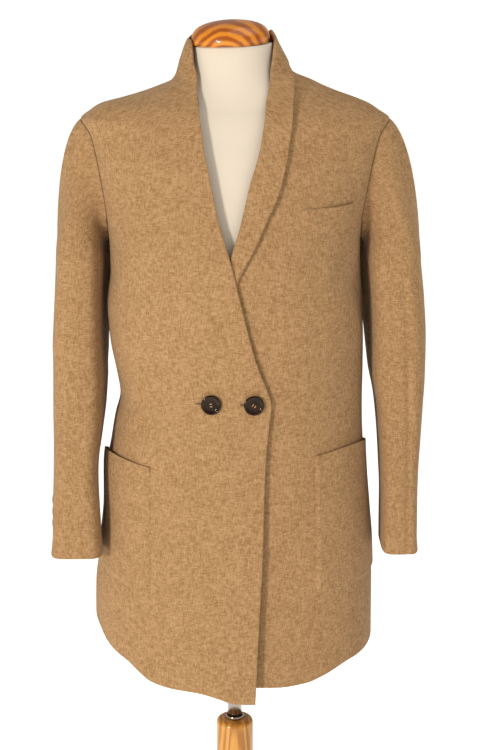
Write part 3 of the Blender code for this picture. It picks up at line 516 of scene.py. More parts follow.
def melange_group():
    """Plain weave of two shades of yarn, over the cloth lengths in metres.

    The lengths are cut into warp ends and weft picks one yarn wide, and each yarn's shade
    wanders along its length by a noise of its own. A crossing shows the warp where the two
    yarn numbers add up to an even one, with the other yarn a little through it. A fine
    noise stands for loose fibre and a wide one for uneven dye. Put out are a colour
    between the two shades and a height for the rounded yarns.
    """
    made = bpy.data.node_groups.new("melange weave", "ShaderNodeTree")
    for name, way, kind in (("Place", "INPUT", "Vector"), ("Light Yarn", "INPUT", "Color"),
                            ("Dark Yarn", "INPUT", "Color"), ("Colour", "OUTPUT", "Color"),
                            ("Height", "OUTPUT", "Float")):
        made.interface.new_socket(name, in_out=way, socket_type=f"NodeSocket{kind}")
    given = made.nodes.new("NodeGroupInput").outputs

    def worked(operation, first, second=0.0):
        """One Math node on sockets or numbers."""
        node = made.nodes.new("ShaderNodeMath")
        node.operation = operation
        feed(node.inputs[0], first)
        feed(node.inputs[1], second)
        return node.outputs[0]

    def times(first, second):
        """Product of two sockets or numbers."""
        return worked("MULTIPLY", first, second)

    def plus(first, second):
        """Sum of two sockets or numbers."""
        return worked("ADD", first, second)

    def noise_at(x, y, detail):
        """Noise over a plane of two sockets."""
        place = add_node(made, "ShaderNodeCombineXYZ", "Vector", X=x, Y=y)
        return add_node(made, "ShaderNodeTexNoise", "Fac", {"noise_dimensions": "2D"},
                        Vector=place, Scale=1.0, Detail=detail)

    def blend_of(factor, first, second, kind="FLOAT"):
        """Plain mix of two sockets."""
        return add_node(made, "ShaderNodeMix", "Result", {"data_type": kind},
                        Factor=factor, A=first, B=second)

    def hump(yarns):
        """Rounded top of a yarn: the sine of the place across it."""
        return worked("SINE", times(worked("FRACT", yarns), math.pi))

    parts = made.nodes.new("ShaderNodeSeparateXYZ")
    feed(parts.inputs["Vector"], given["Place"])
    # Two metres are added to both, so that no yarn has a number below zero
    across, along = plus(parts.outputs["X"], 2.0), plus(parts.outputs["Y"], 2.0)
    across_yarns, along_yarns = times(across, yarns_per_metre), times(along, yarns_per_metre)
    end, pick = worked("FLOOR", across_yarns), worked("FLOOR", along_yarns)
    warp = noise_at(times(end, yarn_apart), times(along, shade_changes), 1.5)
    weft = noise_at(times(across, shade_changes), times(pick, yarn_apart), 1.5)
    warp_up = worked("LESS_THAN", worked("MODULO", plus(end, pick), 2.0), 0.5)
    fibre = noise_at(times(across, fibre_changes), times(along, fibre_changes), 1.0)
    dye = noise_at(times(across, dye_changes[0]), times(along, dye_changes[1]), 1.0)
    shown = plus(times(blend_of(warp_up, weft, warp), top_share),
                 times(plus(warp, weft), yarn_share))
    total = plus(shown, plus(times(fibre, fibre_share), times(dye, dye_share)))
    shade = add_node(made, "ShaderNodeMapRange", "Result",
                     Value=total, From_Min=0.36, From_Max=0.64)
    rise = times(blend_of(warp_up, hump(along_yarns), hump(across_yarns)), hump_rise)
    fill_in(made.nodes.new("NodeGroupOutput"),
            Colour=blend_of(shade, given["Dark Yarn"], given["Light Yarn"], "RGBA"),
            Height=plus(rise, plus(times(fibre, fibre_rise), times(total, shade_rise))))
    return made


# Matt wool: the melange colours, a raised weave, and a soft sheen from loose fibre
camel, wool_shader = new_look("camel wool", Roughness=0.92, Specular_IOR_Level=0.10,
                              Sheen_Weight=0.16, Sheen_Roughness=0.45,
                              Sheen_Tint=(1.0, 0.86, 0.66))
weave = camel.node_tree.nodes.new("ShaderNodeGroup")
weave.node_tree = melange_group()
fill_in(weave, Light_Yarn=(0.400, 0.242, 0.118), Dark_Yarn=(0.243, 0.130, 0.050),
        Place=add_node(camel.node_tree, "ShaderNodeUVMap", "UV", {"uv_map": "cloth lengths"}))
fill_in(wool_shader, Base_Color=weave.outputs["Colour"],
        Normal=raised(weave.outputs["Height"], strength=0.5, distance=0.0012))

right_heights = panel_rows(collar_end)
turns, levels = panel(-outer_side(right_heights, False), curve(right_heights, over_edge, 1), 92,
                      right_heights, hem_right)
turns = follow_edge(turns, levels, over_edge, -1)
right_face = on_body(turns, levels, over_lift(turns, levels))
front_right = cloth_shell("front_right_cloth", right_face, plumb_at=-60.0)
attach(front_right, "root")
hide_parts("front_right")

# ------------------------------------------------------------
# Left front: the half that lies beneath, in the same wool. It runs under the overlap
# below the crossing and is turned back along its roll line above it.

# Front edge below the crossing, roll line above it: height, degrees
under_edge = np.array([
    (0.56, -15), (0.776, -19.5), (0.909, -21.5), (0.997, -24), (1.057, -17), (1.11, -10.5),
    (1.15, -6.2), (1.192, -1.9), (1.225, 2.8), (1.254, 6.4), (1.287, 10.6), (1.33, 18.8),
    (1.367, 25.8), (1.404, 39), (1.423, 48.8), (1.442, 60.2), (1.451, 66), (1.458, 71.4),
    (1.466, 79),
])
# Hem of the left front and of the back's left half: degrees round, height
hem_left = np.array([
    (-30, 0.592), (11, 0.591), (22.5, 0.5897), (34, 0.592), (44, 0.6), (56, 0.611),
    (68, 0.6145), (80, 0.619), (95, 0.628), (110, 0.633), (140, 0.63), (180, 0.622),
])
left_collar_end = 1.463
left_heights = panel_rows(left_collar_end)
turns, levels = panel(curve(left_heights, under_edge, 1), outer_side(left_heights, False), 88,
                      left_heights, hem_left)
turns = follow_edge(turns, levels, under_edge, 0)
left_face = on_body(turns, levels, 0.0)
front_left = cloth_shell("front_left_cloth", left_face, plumb_at=60.0)
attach(front_left, "root")
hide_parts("front_left")
state_cut(left_face)

# ------------------------------------------------------------
# Back: one plain panel of the same wool from side seam to side seam. Its folds at the
# waist and under the arms are rows of the same table as the fronts'.
back_heights = panel_rows(neck_seam)
back_hem = np.concatenate([hem_left[-4:], hem_right[1:5] + np.array([360.0, 0.0])])
back_side = outer_side(back_heights, True)
turns, levels = panel(back_side, 360.0 - back_side, 118, back_heights, back_hem)
back_face = on_body(turns, levels, 0.0)
back = cloth_shell("back_cloth", back_face, plumb_at=180.0)
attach(back, "root")
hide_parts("back")
state_cut(back_face)

# ------------------------------------------------------------
# Collar stand behind the neck: a curved strip of the wool that stands up from the back's
# neck seam, between the collars of the two fronts.

# Top edge: degrees round the back, height
collar_top = np.array([
    (90, 1.466), (100, 1.47), (112, 1.477), (180, 1.479), (240, 1.475), (270, 1.4695),
])
collar_pass = seam_turn(90.0, 1.45)
collar_turn = np.linspace(90.0 + collar_pass, 270.0 - collar_pass, 72)
collar_low = neck_seam + seam_gap
collar_tall = curve(collar_turn, collar_top, 1) - collar_low
levels = collar_low + np.linspace(0.0, 1.0, 15)[:, None] * collar_tall
collar_face = on_body(collar_turn + 0.0 * levels, levels, 0.0)
collar = cloth_shell("collar_back_cloth", collar_face, plumb_at=180.0)
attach(collar, "root")
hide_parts("collar_back")
state_cut(collar_face)

# ------------------------------------------------------------
# Turned lapel and shawl collar of the left front: the same wool folded back along the
# roll line, with a pressed outer edge that stands a little off the front.

# From its hidden tip to the back neck: number, roll degrees, roll height, edge degrees,
# edge height, stand-off of the edge
lapel_rows = np.array([
    (0, -8, 1.134, -5, 1.122, 0.0028), (1, -5.6, 1.156, -1.6, 1.144, 0.0029),
    (2, -3, 1.181, 1.6, 1.164, 0.0032), (3, -0.2, 1.204, 6.8, 1.189, 0.0045),
    (4, 3, 1.226, 12, 1.213, 0.0055), (5, 6.4, 1.254, 18, 1.2425, 0.006),
    (6, 10.6, 1.287, 25.1, 1.272, 0.0062), (7, 14.6, 1.309, 30, 1.3004, 0.0062),
    (8, 18.8, 1.33, 35, 1.329, 0.006), (9, 24, 1.358, 40.2, 1.356, 0.006),
    (10, 29.5, 1.381, 46.2, 1.379, 0.006), (11, 39, 1.404, 56.1, 1.4008, 0.006),
    (12, 48.8, 1.423, 63.5, 1.4136, 0.0055), (13, 60.2, 1.442, 75.4, 1.425, 0.0048),
    (14, 70.5, 1.456, 86, 1.436, 0.0042), (15, 82, 1.465, 95, 1.447, 0.0036),
    (16, 95, 1.471, 104, 1.459, 0.0032), (17, 110, 1.477, 113, 1.471, 0.0028),
])
lapel_spring = 0.0014    # how far the pressed edge springs off
nearest = cloth + 3.0 * seam_gap    # stand-off of the lapel's outer face along the roll
rise_over = 1.2          # widths of the lapel over which it would rise to level
step = np.linspace(0.0, lapel_rows[-1, 0], 150)
share = np.linspace(0.0, 1.0, 22)
roll_turn, roll_level, edge_turn, edge_level, edge_out = [
    curve(step, lapel_rows, column)[:, None] for column in range(1, 6)]
turns = roll_turn * (1.0 - share) + edge_turn * share
levels = roll_level * (1.0 - share) + edge_level * share
rise = smooth(share / rise_over) / smooth(1.0 / rise_over)
lapel_flat = on_body(turns, levels, nearest + (edge_out + lapel_spring - nearest) * rise)
# The fold: a half round from the lapel's outer face down to the front's inner face
fold_radius = 0.5 * (nearest + cloth)
outward = body_normal(turns[:, 0], levels[:, 0])
sideways = unit(lapel_flat[:, 0] - lapel_flat[:, 1])
sideways = unit(sideways - np.sum(sideways * outward, axis=1, keepdims=True) * outward)
bend = np.linspace(math.pi, 0.0, 9)[:-1]
fold = (lapel_flat[:, :1] - fold_radius * outward[:, None]
        + fold_radius * np.cos(bend)[None, :, None] * outward[:, None]
        + fold_radius * np.sin(bend)[None, :, None] * sideways[:, None])
lapel_face = np.concatenate([fold, lapel_flat], axis=1)
lapel = cloth_shell("lapel_left_cloth", lapel_face, plumb_at=60.0)
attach(lapel, "root")
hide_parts("lapel_left")
state_cut(lapel_face)

# ------------------------------------------------------------
# Sleeves: tubes of the same wool, eased into the armholes at the head and hanging
# straight with a slight bend at the elbow, open at the cuff.

# Height, half depth, then inner x, outer x, middle y and tuck of the right sleeve, then
# the same four of the left. Above zero the tuck draws the back of the inner side in
# behind the body, and below zero it turns the whole inner side in toward the front.
sleeve_rows = np.array([
    (0.7575, 0.057, 0.1940, 0.2585, -0.040, -0.42, 0.2050, 0.2565, -0.022, 0.00),
    (0.788, 0.057, 0.1942, 0.2560, -0.038, -0.38, 0.2048, 0.2550, -0.020, 0.00),
    (0.834, 0.057, 0.1942, 0.2548, -0.034, -0.27, 0.2045, 0.2550, -0.017, 0.00),
    (0.878, 0.058, 0.1930, 0.2535, -0.028, -0.10, 0.2030, 0.2560, -0.013, 0.04),
    (0.923, 0.060, 0.1882, 0.2532, -0.020, 0.00, 0.2005, 0.2585, -0.008, 0.06),
    (0.967, 0.062, 0.1838, 0.2535, -0.011, 0.06, 0.1968, 0.2608, -0.003, 0.10),
    (1.011, 0.064, 0.1828, 0.2530, -0.003, 0.14, 0.1900, 0.2630, 0.001, 0.18),
    (1.060, 0.066, 0.1840, 0.2525, 0.003, 0.26, 0.1880, 0.2635, 0.005, 0.34),
    (1.120, 0.068, 0.1830, 0.2495, 0.008, 0.42, 0.1845, 0.2605, 0.008, 0.50),
    (1.170, 0.068, 0.1805, 0.2465, 0.010, 0.48, 0.1805, 0.2550, 0.010, 0.54),
])
head_squareness, arm_squareness, cuff_squareness = 3.3, 4.2, 5.0
arm_from, arm_fade = 1.15, 0.12      # height below which the arm's shape comes in
cuff_from, cuff_fade = 0.87, 0.10    # and the cuff's
crown_from, crown_fade = 1.22, 0.13  # height above which the head is the crown
tuck_power = 3.0      # how sharply the tuck gathers on the inner side
valley_depth = 0.0035    # of the fold down the front, in the outer half
valley_turn = 0.95       # radians from the outer side toward the front
valley_wide = 0.30       # radians
valley_top, valley_top_fade = 1.22, 0.10      # heights where it ends, and over how far
valley_foot, valley_foot_fade = 0.80, 0.12
cuff_lift = 0.004        # half of what the cuff's edge rises from behind to the front
cuff_half_deep = 0.06
lift_from, lift_fade = 0.788, 0.033    # height below which the cuff's rows rise
seam_rows = 12.0         # rows below the armhole where the creases fade out
# How the head leaves the armhole: off the seam, down, further down at the crown, along the
# seam's own lead, and its pull there, less at the crown; then its pull at the top section
head_off = 1.2 * seam_gap
head_down, crown_down, seam_lead = 0.12, 0.78, 0.30
head_pull, crown_less, arm_pull = 0.95, 0.33, 0.9
tip_wide = 0.012         # metres about the shoulder tip where the lead is this one
tip_out, tip_down = 0.94, 0.34

# Creases of the two sleeves: degrees from the outer side toward the front, height, half
# width in degrees, half height, lean in degrees per metre, depth
sleeve_creases = {
    -1.0: np.array([
        (100, 1.1, 26, 0.014, 500, -0.0012), (75, 1.055, 30, 0.012, 420, 0.001),
        (20, 1.2, 10, 0.06, 60, -0.0012), (66, 0.95, 16, 0.06, 90, -0.001),
        (120, 0.985, 30, 0.012, -380, -0.0011), (250, 1.02, 34, 0.014, 360, -0.0016),
        (290, 1.1, 30, 0.016, -300, -0.0014), (35, 0.85, 12, 0.07, -40, 0.0008),
        (318, 0.93, 16, 0.09, 50, -0.0012), (99, 1, 4, 0.19, 12, -0.0012)]),
    1.0: np.array([
        (28, 1, 9, 0.15, 30, -0.0016), (81, 0.96, 3.6, 0.23, 6, -0.0034),
        (95, 1.11, 26, 0.013, 480, -0.0011), (110, 1.02, 30, 0.012, -360, 0.001),
        (12, 1.215, 10, 0.05, -50, -0.001), (80, 0.9, 14, 0.07, 60, -0.0009),
        (255, 0.995, 34, 0.015, 380, -0.0017), (300, 1.09, 28, 0.017, -320, -0.0013),
        (322, 0.89, 15, 0.08, -40, -0.0011)]),
}


def sleeve_ring(side, angle, height):
    """Rounded section |x/a|^n + |y/b|^n = 1 of a sleeve, its inner half turned by the tuck.

    A shallow Gaussian valley runs down its front.
    """
    first = 2 if side < 0.0 else 6
    deep, low, high, middle_y, tuck = [
        curve(height, sleeve_rows, column) for column in (1, *range(first, first + 4))]
    out, ahead = np.cos(angle), np.sin(angle)
    low_down = smooth((arm_from - height) / arm_fade)
    power = (head_squareness + (arm_squareness - head_squareness) * low_down
             + (cuff_squareness - arm_squareness) * smooth((cuff_from - height) / cuff_fade))
    reach = rounded(out, ahead, 0.5 * (high - low), deep, power)
    drawn = np.where(tuck > 0.0, np.minimum(ahead, 0.0), ahead)
    turned = tuck * (0.5 * (1.0 - out)) ** tuck_power * reach * drawn
    x = side * (0.5 * (low + high) + reach * out + turned)
    valley = valley_depth * np.exp(-(((angle - valley_turn) / valley_wide) ** 2))
    valley = valley * smooth((valley_top - height) / valley_top_fade)
    valley = valley * smooth((height - valley_foot) / valley_foot_fade)
    return np.stack([x, middle_y - reach * ahead + valley, height + 0.0 * x], axis=-1)


def sleeve_face(side):
    """Outer grid of a sleeve, from the cuff up to the armhole.

    Below the head it is the rounded sections of the table. The head is a Hermite blend
    from the armhole loop, left at right angles to the seam, down into the top section.
    """
    points = on_body(side * armhole_fine[:, 0], armhole_fine[:, 1], 0.0)
    normals = body_normal(side * armhole_fine[:, 0], armhole_fine[:, 1])
    into = unit(np.cross(normals, np.roll(points, -1, axis=0) - np.roll(points, 1, axis=0)))
    into[np.sum(into * (points.mean(axis=0) - points), axis=1) < 0.0] *= -1.0
    near_tip = np.exp(-(np.linalg.norm(points - points[0], axis=1) / tip_wide) ** 2)[:, None]
    into = unit(into * (1.0 - near_tip) + near_tip * np.array([side * tip_out, 0.0, -tip_down]))
    travelled = run_length(np.concatenate([points, points[:1]]), 0)
    travelled = travelled[:-1] / travelled[-1]
    foot_at = travelled[loop_points // 2]
    angle = math.pi * np.where(travelled <= foot_at, travelled / foot_at,
                               1.0 + (travelled - foot_at) / (1.0 - foot_at))
    top = sleeve_ring(side, angle, np.full(loop_points, sleeve_rows[-1, 0]))
    reach = np.linalg.norm(top - points, axis=1, keepdims=True)
    high_up = smooth((points[:, 2:3] - crown_from) / crown_fade)
    leave = unit(np.array([side, 0.0, -head_down]) - high_up * np.array([0.0, 0.0, crown_down])
                 + seam_lead * into)
    t = np.concatenate([np.linspace(0.0, 0.1, 6)[:-1], np.linspace(0.1, 1.0, 40)[:-1]])
    t = t[:, None, None]
    head = hermite(t, points + head_off * into,
                   reach * leave * (head_pull - crown_less * high_up),
                   top, reach * np.array([0.0, 0.0, -arm_pull]))
    levels = np.linspace(sleeve_rows[-1, 0], sleeve_rows[0, 0], 96)[:, None]
    arm = sleeve_ring(side, angle[None, :], levels + 0.0 * angle)
    lift = cuff_lift - cuff_lift * np.clip(arm[-1, :, 1] / cuff_half_deep, -1.0, 1.0)
    arm[..., 2] += lift * np.clip((lift_from - levels) / lift_fade, 0.0, 1.0)
    face = np.concatenate([head, arm])
    face = np.concatenate([face, face[:, :1]], axis=1)[::-1]
    angle = np.append(angle, 2.0 * math.pi)
    if side > 0.0:
        face, angle = face[:, ::-1], angle[::-1]
    out = folds(np.degrees(angle)[None, :], face[..., 2], sleeve_creases[side])
    fade = smooth(np.arange(len(face))[::-1] / seam_rows)[:, None]
    return face + (out * fade)[..., None] * grid_normals(face, True)


sleeve_parts = {}
for side, word in ((-1.0, "right"), (1.0, "left")):
    face = sleeve_face(side)
    sleeve = cloth_shell(f"sleeve_{word}_cloth", face)
    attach(sleeve, "root")
    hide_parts(f"sleeve_{word}")
    sleeve_parts[side] = (sleeve, face)

# ------------------------------------------------------------
# Patch pockets and breast welt: pieces of the wool with their edges turned under and
# pressed flat, laid on the fronts; the mouths stand a little open.

# Number, degrees at the mouth, height at the mouth, degrees at the foot, height at the foot
pocket_right_rows = np.array([
    (0, -92, 0.894, -91.5, 0.742), (1, -84, 0.901, -77, 0.74), (2, -76, 0.905, -67, 0.735),
    (3, -68, 0.9064, -60, 0.73), (4, -60, 0.9058, -53.5, 0.725),
    (5, -52, 0.9045, -47.5, 0.716), (6, -44.5, 0.903, -42.7, 0.715),
])
pocket_left_rows = np.array([
    (0, 41.8, 0.92, 41.3, 0.7225), (1, 49, 0.9222, 47.6, 0.7205),
    (2, 57.5, 0.924, 54.5, 0.7207), (3, 66, 0.9236, 62.5, 0.7235),
    (4, 74, 0.9205, 71.5, 0.7238), (5, 82, 0.9155, 81, 0.724), (6, 91.5, 0.9085, 91.5, 0.724),
])
welt_rows = np.array([
    (0, 37.8, 1.2556, 37.8, 1.2258), (1, 46.2, 1.2562, 45.2, 1.2245),
    (2, 54, 1.256, 52.6, 1.2232), (3, 61, 1.2568, 59.6, 1.2222),
    (4, 66.8, 1.2575, 65.6, 1.2214),
])

patch_thick = 0.0015    # the patches are pressed thinner than the fronts
patch_degree = 0.0033   # metres of front in one degree round
patch_off = 0.0005      # stand-off of its inner face
sewn_in = 0.009         # from the sides, where the mouth can't open
mouth_from, mouth_fade = 0.9, 0.1    # share of the height above which it isn't pressed
pressed, pressed_wide = 0.0016, 0.0040    # how deep and how far in the edge is pressed
ridge_tall, ridge_in, ridge_wide = 0.0005, 0.0075, 0.0025    # where the turned cloth ends


def patch_face(table, lapped, gape, gape_turn, gape_wide, columns, rows, corner):
    """Outer grid of a patch on a front, with round lower corners and an edge pressed flat.

    The mouth stands off by a Gaussian about one angle, growing with the cube of the
    height. Along the sides and the foot the edge is pressed down by a Gaussian of the
    distance in, and a low ridge follows where the turned cloth ends.
    """
    at = np.linspace(0.0, len(table) - 1.0, columns)
    mouth_turn, mouth, foot_turn, foot = [curve(at, table, column) for column in range(1, 5)]
    metres = np.linspace(-0.5, 0.5, columns) * patch_degree * (mouth_turn[-1] - mouth_turn[0])
    from_side = np.abs(metres[0]) - np.abs(metres)
    past = np.clip(np.abs(metres) - (np.abs(metres[0]) - corner), 0.0, corner)
    foot = foot + corner - np.sqrt(np.maximum(corner**2 - past**2, 0.0))
    share = np.linspace(0.0, 1.0, rows)[:, None]
    turns = foot_turn + share * (mouth_turn - foot_turn)
    levels = foot + share * (mouth - foot)
    sewn = 1.0 - np.exp(-((from_side / sewn_in) ** 2))
    open_by = gape * share**3 * sewn * np.exp(-(((turns - gape_turn) / gape_wide) ** 2))
    inset = np.minimum(from_side, levels - foot)
    edge = (ridge_tall * np.exp(-(((inset - ridge_in) / ridge_wide) ** 2))
            - pressed * np.exp(-((inset / pressed_wide) ** 2)))
    edge = edge * (1.0 - smooth((share - mouth_from) / mouth_fade))
    under = over_lift(turns, levels) if lapped else 0.0
    out = under + patch_thick + patch_off + open_by + edge
    return on_body(turns, levels, out)


for cad_name, table, gape, gape_turn, gape_wide, columns, rows, corner, word, plumb_at in (
        ("pocket_right", pocket_right_rows, 0.0055, -80.0, 20.0, 78, 84, 0.012, "right", -60.0),
        ("pocket_left", pocket_left_rows, 0.0030, 74.0, 22.0, 78, 88, 0.012, "left", 60.0),
        ("breast_welt", welt_rows, 0.0022, 58.0, 8.0, 54, 20, 0.003, "left", 60.0)):
    face = patch_face(table, word == "right", gape, gape_turn, gape_wide, columns, rows, corner)
    piece = cloth_shell(f"{cad_name}_cloth", face, plumb_at, patch_thick)
    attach(piece, "root")
    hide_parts(cad_name)
    state_cut(face)

# ------------------------------------------------------------
# Dress form: a smooth torso and neck under a close cream jersey cover, filled out a
# little at the front where the neck opening shows it.

# Height, half widths toward -X and +X, front and back depth
form_rows = np.array([
    (0.76, 0.158, 0.158, 0.118, 0.092), (0.764, 0.165, 0.165, 0.126, 0.099),
    (0.8, 0.171, 0.17, 0.132, 0.105), (0.88, 0.166, 0.167, 0.131, 0.098),
    (0.95, 0.153, 0.162, 0.128, 0.089), (1, 0.149, 0.162, 0.127, 0.085),
    (1.06, 0.158, 0.163, 0.127, 0.084), (1.12, 0.163, 0.162, 0.128, 0.087),
    (1.17, 0.16, 0.159, 0.128, 0.09), (1.23, 0.162, 0.161, 0.118, 0.092),
    (1.28, 0.168, 0.167, 0.106, 0.091), (1.315, 0.171, 0.171, 0.0945, 0.0875),
    (1.34, 0.171, 0.171, 0.084, 0.081), (1.358, 0.166, 0.166, 0.077, 0.076),
    (1.371, 0.153, 0.156, 0.0705, 0.0725), (1.382, 0.131, 0.138, 0.0635, 0.0695),
    (1.392, 0.11, 0.119, 0.059, 0.067), (1.401, 0.091, 0.098, 0.056, 0.0645),
    (1.41, 0.076, 0.076, 0.0545, 0.0625), (1.42, 0.0665, 0.0612, 0.0532, 0.061),
    (1.432, 0.0618, 0.0545, 0.052, 0.0592), (1.444, 0.0594, 0.0515, 0.0508, 0.0575),
    (1.4608, 0.058, 0.05, 0.0493, 0.0549),
])
form_foot = 0.760     # its flat underside, with a rim rounded up to rounded_to
rounded_to = 0.764
neck_top = 1.4608
neck_tilt = 0.040     # rise of the neck's top for each metre toward +X
padding = 0.0045      # wadding under the jersey where the neck opening shows it
padded_from, from_fade = 1.12, 0.12      # heights where it begins and ends
padded_to, to_fade = 1.445, 0.06
lean_from, lean_fade = 1.40, 0.05        # height where the neck begins to lean


def closed_stack(name, rings, look):
    """Closed body from a stack of rings, its first and last rings drawn to their middles."""
    rows, ring = rings.shape[:2]
    number = np.arange(rows)[:, None] * ring + np.arange(ring + 1) % ring
    low, high = number[0].tolist(), number[-1].tolist()
    foot = rows * ring
    fans = [[foot, b, a] for a, b in zip(low, low[1:])]
    fans += [[foot + 1, a, b] for a, b in zip(high, high[1:])]
    middles = [rings[0].mean(0)[None], rings[-1].mean(0)[None]]
    points = np.concatenate([rings.reshape(-1, 3), *middles])
    return put_mesh(name, points, squares(number).reshape(-1, 4).tolist() + fans, look)


def place_on(look, stretch=None, shift=(0.0, 0.0, 0.0)):
    """Place on the object, each axis scaled by its own number and then shifted."""
    place = add_node(look.node_tree, "ShaderNodeTexCoord", "Object")
    if stretch is None:
        return place
    return add_node(look.node_tree, "ShaderNodeMapping", "Vector",
                    Vector=place, Scale=stretch, Location=shift)


def noise_on(look, stretch=None, **values):
    """Noise over the object, drawn out by a stretch."""
    return add_node(look.node_tree, "ShaderNodeTexNoise", "Fac",
                    Vector=place_on(look, stretch), **values)


def two_shades(factor, low, dark, high, light):
    """Ramp of colour from one shade at a low factor to another at a high one."""
    ramp = fill_in(factor.id_data.nodes.new("ShaderNodeValToRGB"), Fac=factor)
    for element, place, shade in zip(ramp.color_ramp.elements, (low, high), (dark, light)):
        element.position = place
        element.color = (*shade, 1.0)
    return ramp.outputs["Color"]


# Cream stretch jersey: a fine knit drawn upright, and a faint uneven tint
jersey, jersey_shader = new_look("cream jersey", Roughness=0.8, Sheen_Weight=0.25,
                                 Sheen_Roughness=0.5)
tint = noise_on(jersey, (9.0, 9.0, 5.0), Scale=1.0, Detail=2.0)
knit = noise_on(jersey, (900.0, 900.0, 350.0), Scale=1.0)
fill_in(jersey_shader, Normal=raised(knit, strength=0.15, distance=0.0004),
        Base_Color=two_shades(tint, 0.3, (0.575, 0.500, 0.400), 0.7, (0.605, 0.528, 0.425)))


def form_rings(heights, count):
    """Elliptic sections of the form, the neck's rings leaning with the tilted cap."""
    turn = np.linspace(0.0, 2.0 * math.pi, count, endpoint=False)[None, :]
    level = heights[:, None]
    side, ahead = np.sin(turn), np.cos(turn)
    padded = smooth((level - padded_from) / from_fade) * smooth((padded_to - level) / to_fade)
    reach = table_reach(side, ahead, level, form_rows, 2.0)
    reach = reach + padding * padded * smooth(ahead)
    x = reach * side
    lean = neck_tilt * smooth((level - lean_from) / lean_fade)
    return np.stack([x, ridge_y - reach * ahead, level + lean * x], axis=-1)


form_shoulder = 1.36
form_heights = np.concatenate([np.linspace(form_foot, rounded_to, 4)[:-1],
                               np.linspace(rounded_to, form_shoulder, 90)[:-1],
                               np.linspace(form_shoulder, neck_top, 46)])
form = closed_stack("form_cover", form_rings(form_heights, 112), jersey)
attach(form, "root")
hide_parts("form_torso")

# ------------------------------------------------------------
# Neck cap, pole, post and base: a turned and varnished pine cap on the neck, a chromed
# pole with its ring in a turned pine post, and a plain turned base.


def lathe_rings(profile, centre, count, tilt=0.0):
    """Rings of a turned body: each profile row is a radius and a height on its axis."""
    turn = np.linspace(0.0, 2.0 * math.pi, count, endpoint=False)
    radius, height = profile[:, :1], profile[:, 1:]
    x = -radius * np.cos(turn)
    return np.stack([x, -radius * np.sin(turn), height + tilt * x], axis=-1) + np.array(centre)


def pine_look(name, light, dark, stretch, rough, coat, core=(0.03, 0.11, 0.0), waver=5.0):
    """Varnished pine: wavering growth rings round a core, under a clear coat."""
    look, shader = new_look(name, Roughness=rough, Coat_Weight=coat, Coat_Roughness=0.06,
                            Specular_IOR_Level=0.20)
    rings = add_node(look.node_tree, "ShaderNodeTexWave", "Fac",
                     {"wave_type": "RINGS", "rings_direction": "Y"},
                     Vector=place_on(look, stretch, core), Scale=1.0, Distortion=waver,
                     Detail=3.0, Detail_Scale=1.2)
    fill_in(shader, Base_Color=two_shades(rings, 0.15, dark, 0.80, light))
    return look


cap_wood = pine_look("varnished cap pine", (0.60, 0.205, 0.014), (0.29, 0.068, 0.004),
                     stretch=(30.0, 12.0, 30.0), rough=0.32, coat=0.40,
                     core=(0.35, 0.0, -43.2), waver=3.2)
post_wood = pine_look("varnished post pine", (0.58, 0.275, 0.044), (0.38, 0.145, 0.020),
                      stretch=(70.0, 70.0, 4.0), rough=0.35, coat=0.6)
base_wood = pine_look("varnished base pine", (0.66, 0.38, 0.13), (0.46, 0.22, 0.06),
                      stretch=(3.0, 34.0, 34.0), rough=0.38, coat=0.6)

cap_profile = np.array([
    (0.044, 0), (0.0484, 0), (0.05, 0.0008), (0.0516, 0.0022), (0.0525, 0.0042),
    (0.0528, 0.0078), (0.0523, 0.011), (0.0515, 0.0141), (0.0495, 0.0178), (0.0468, 0.0212),
    (0.0427, 0.0244), (0.0375, 0.0269), (0.0305, 0.0292), (0.022, 0.0309), (0.012, 0.0321),
    (0.004, 0.0325)])
cap_place = (-0.0061, 0.0045, neck_top + seam_gap)
cap = closed_stack("neck_cap_wood", lathe_rings(cap_profile, cap_place, 96, neck_tilt), cap_wood)
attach(cap, "root")
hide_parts("neck_cap")

# Chromed steel, its polish worn a little in streaks up the pole
chrome, chrome_shader = new_look("chromed steel", Metallic=1.0, Base_Color=(0.36, 0.32, 0.27))
wear = noise_on(chrome, (120.0, 120.0, 8.0), Scale=1.0)
fill_in(chrome_shader, Roughness=add_node(chrome.node_tree, "ShaderNodeMapRange", "Result",
                                          Value=wear, To_Min=0.10, To_Max=0.24))

stand_x = -0.0025
pole_radius = 0.0103
post_top = 0.4795
post_radius = 0.027
base_radius = 0.190
base_height = 0.030
pole_tall = form_foot - post_top - 2.0 * seam_gap
pole_profile = np.array([(0.004, 0.0), (pole_radius - 0.0003, 0.0), (pole_radius, 0.0004),
                         (pole_radius, pole_tall / 2.0), (pole_radius, pole_tall - 0.0004),
                         (pole_radius - 0.0003, pole_tall)])
post_tall = post_top - base_height - seam_gap
post_profile = np.array([
    (0.010, 0.0), (post_radius - 0.0006, 0.0), (post_radius, 0.0008), (post_radius, 0.15),
    (post_radius, 0.30), (post_radius, post_tall - 0.0065),
    (post_radius - 0.0005, post_tall - 0.0042), (post_radius - 0.0018, post_tall - 0.0020),
    (post_radius - 0.0038, post_tall - 0.0006), (post_radius - 0.0060, post_tall),
    (0.014, post_tall)])
base_profile = np.array([
    (0.060, 0.0), (base_radius - 0.0040, 0.0), (base_radius - 0.0012, 0.0010),
    (base_radius, 0.0040), (base_radius, 0.0190), (base_radius - 0.0008, 0.0222),
    (base_radius - 0.0040, 0.0265), (base_radius - 0.0085, 0.0290),
    (base_radius - 0.014, base_height), (0.120, base_height), (0.050, base_height)])
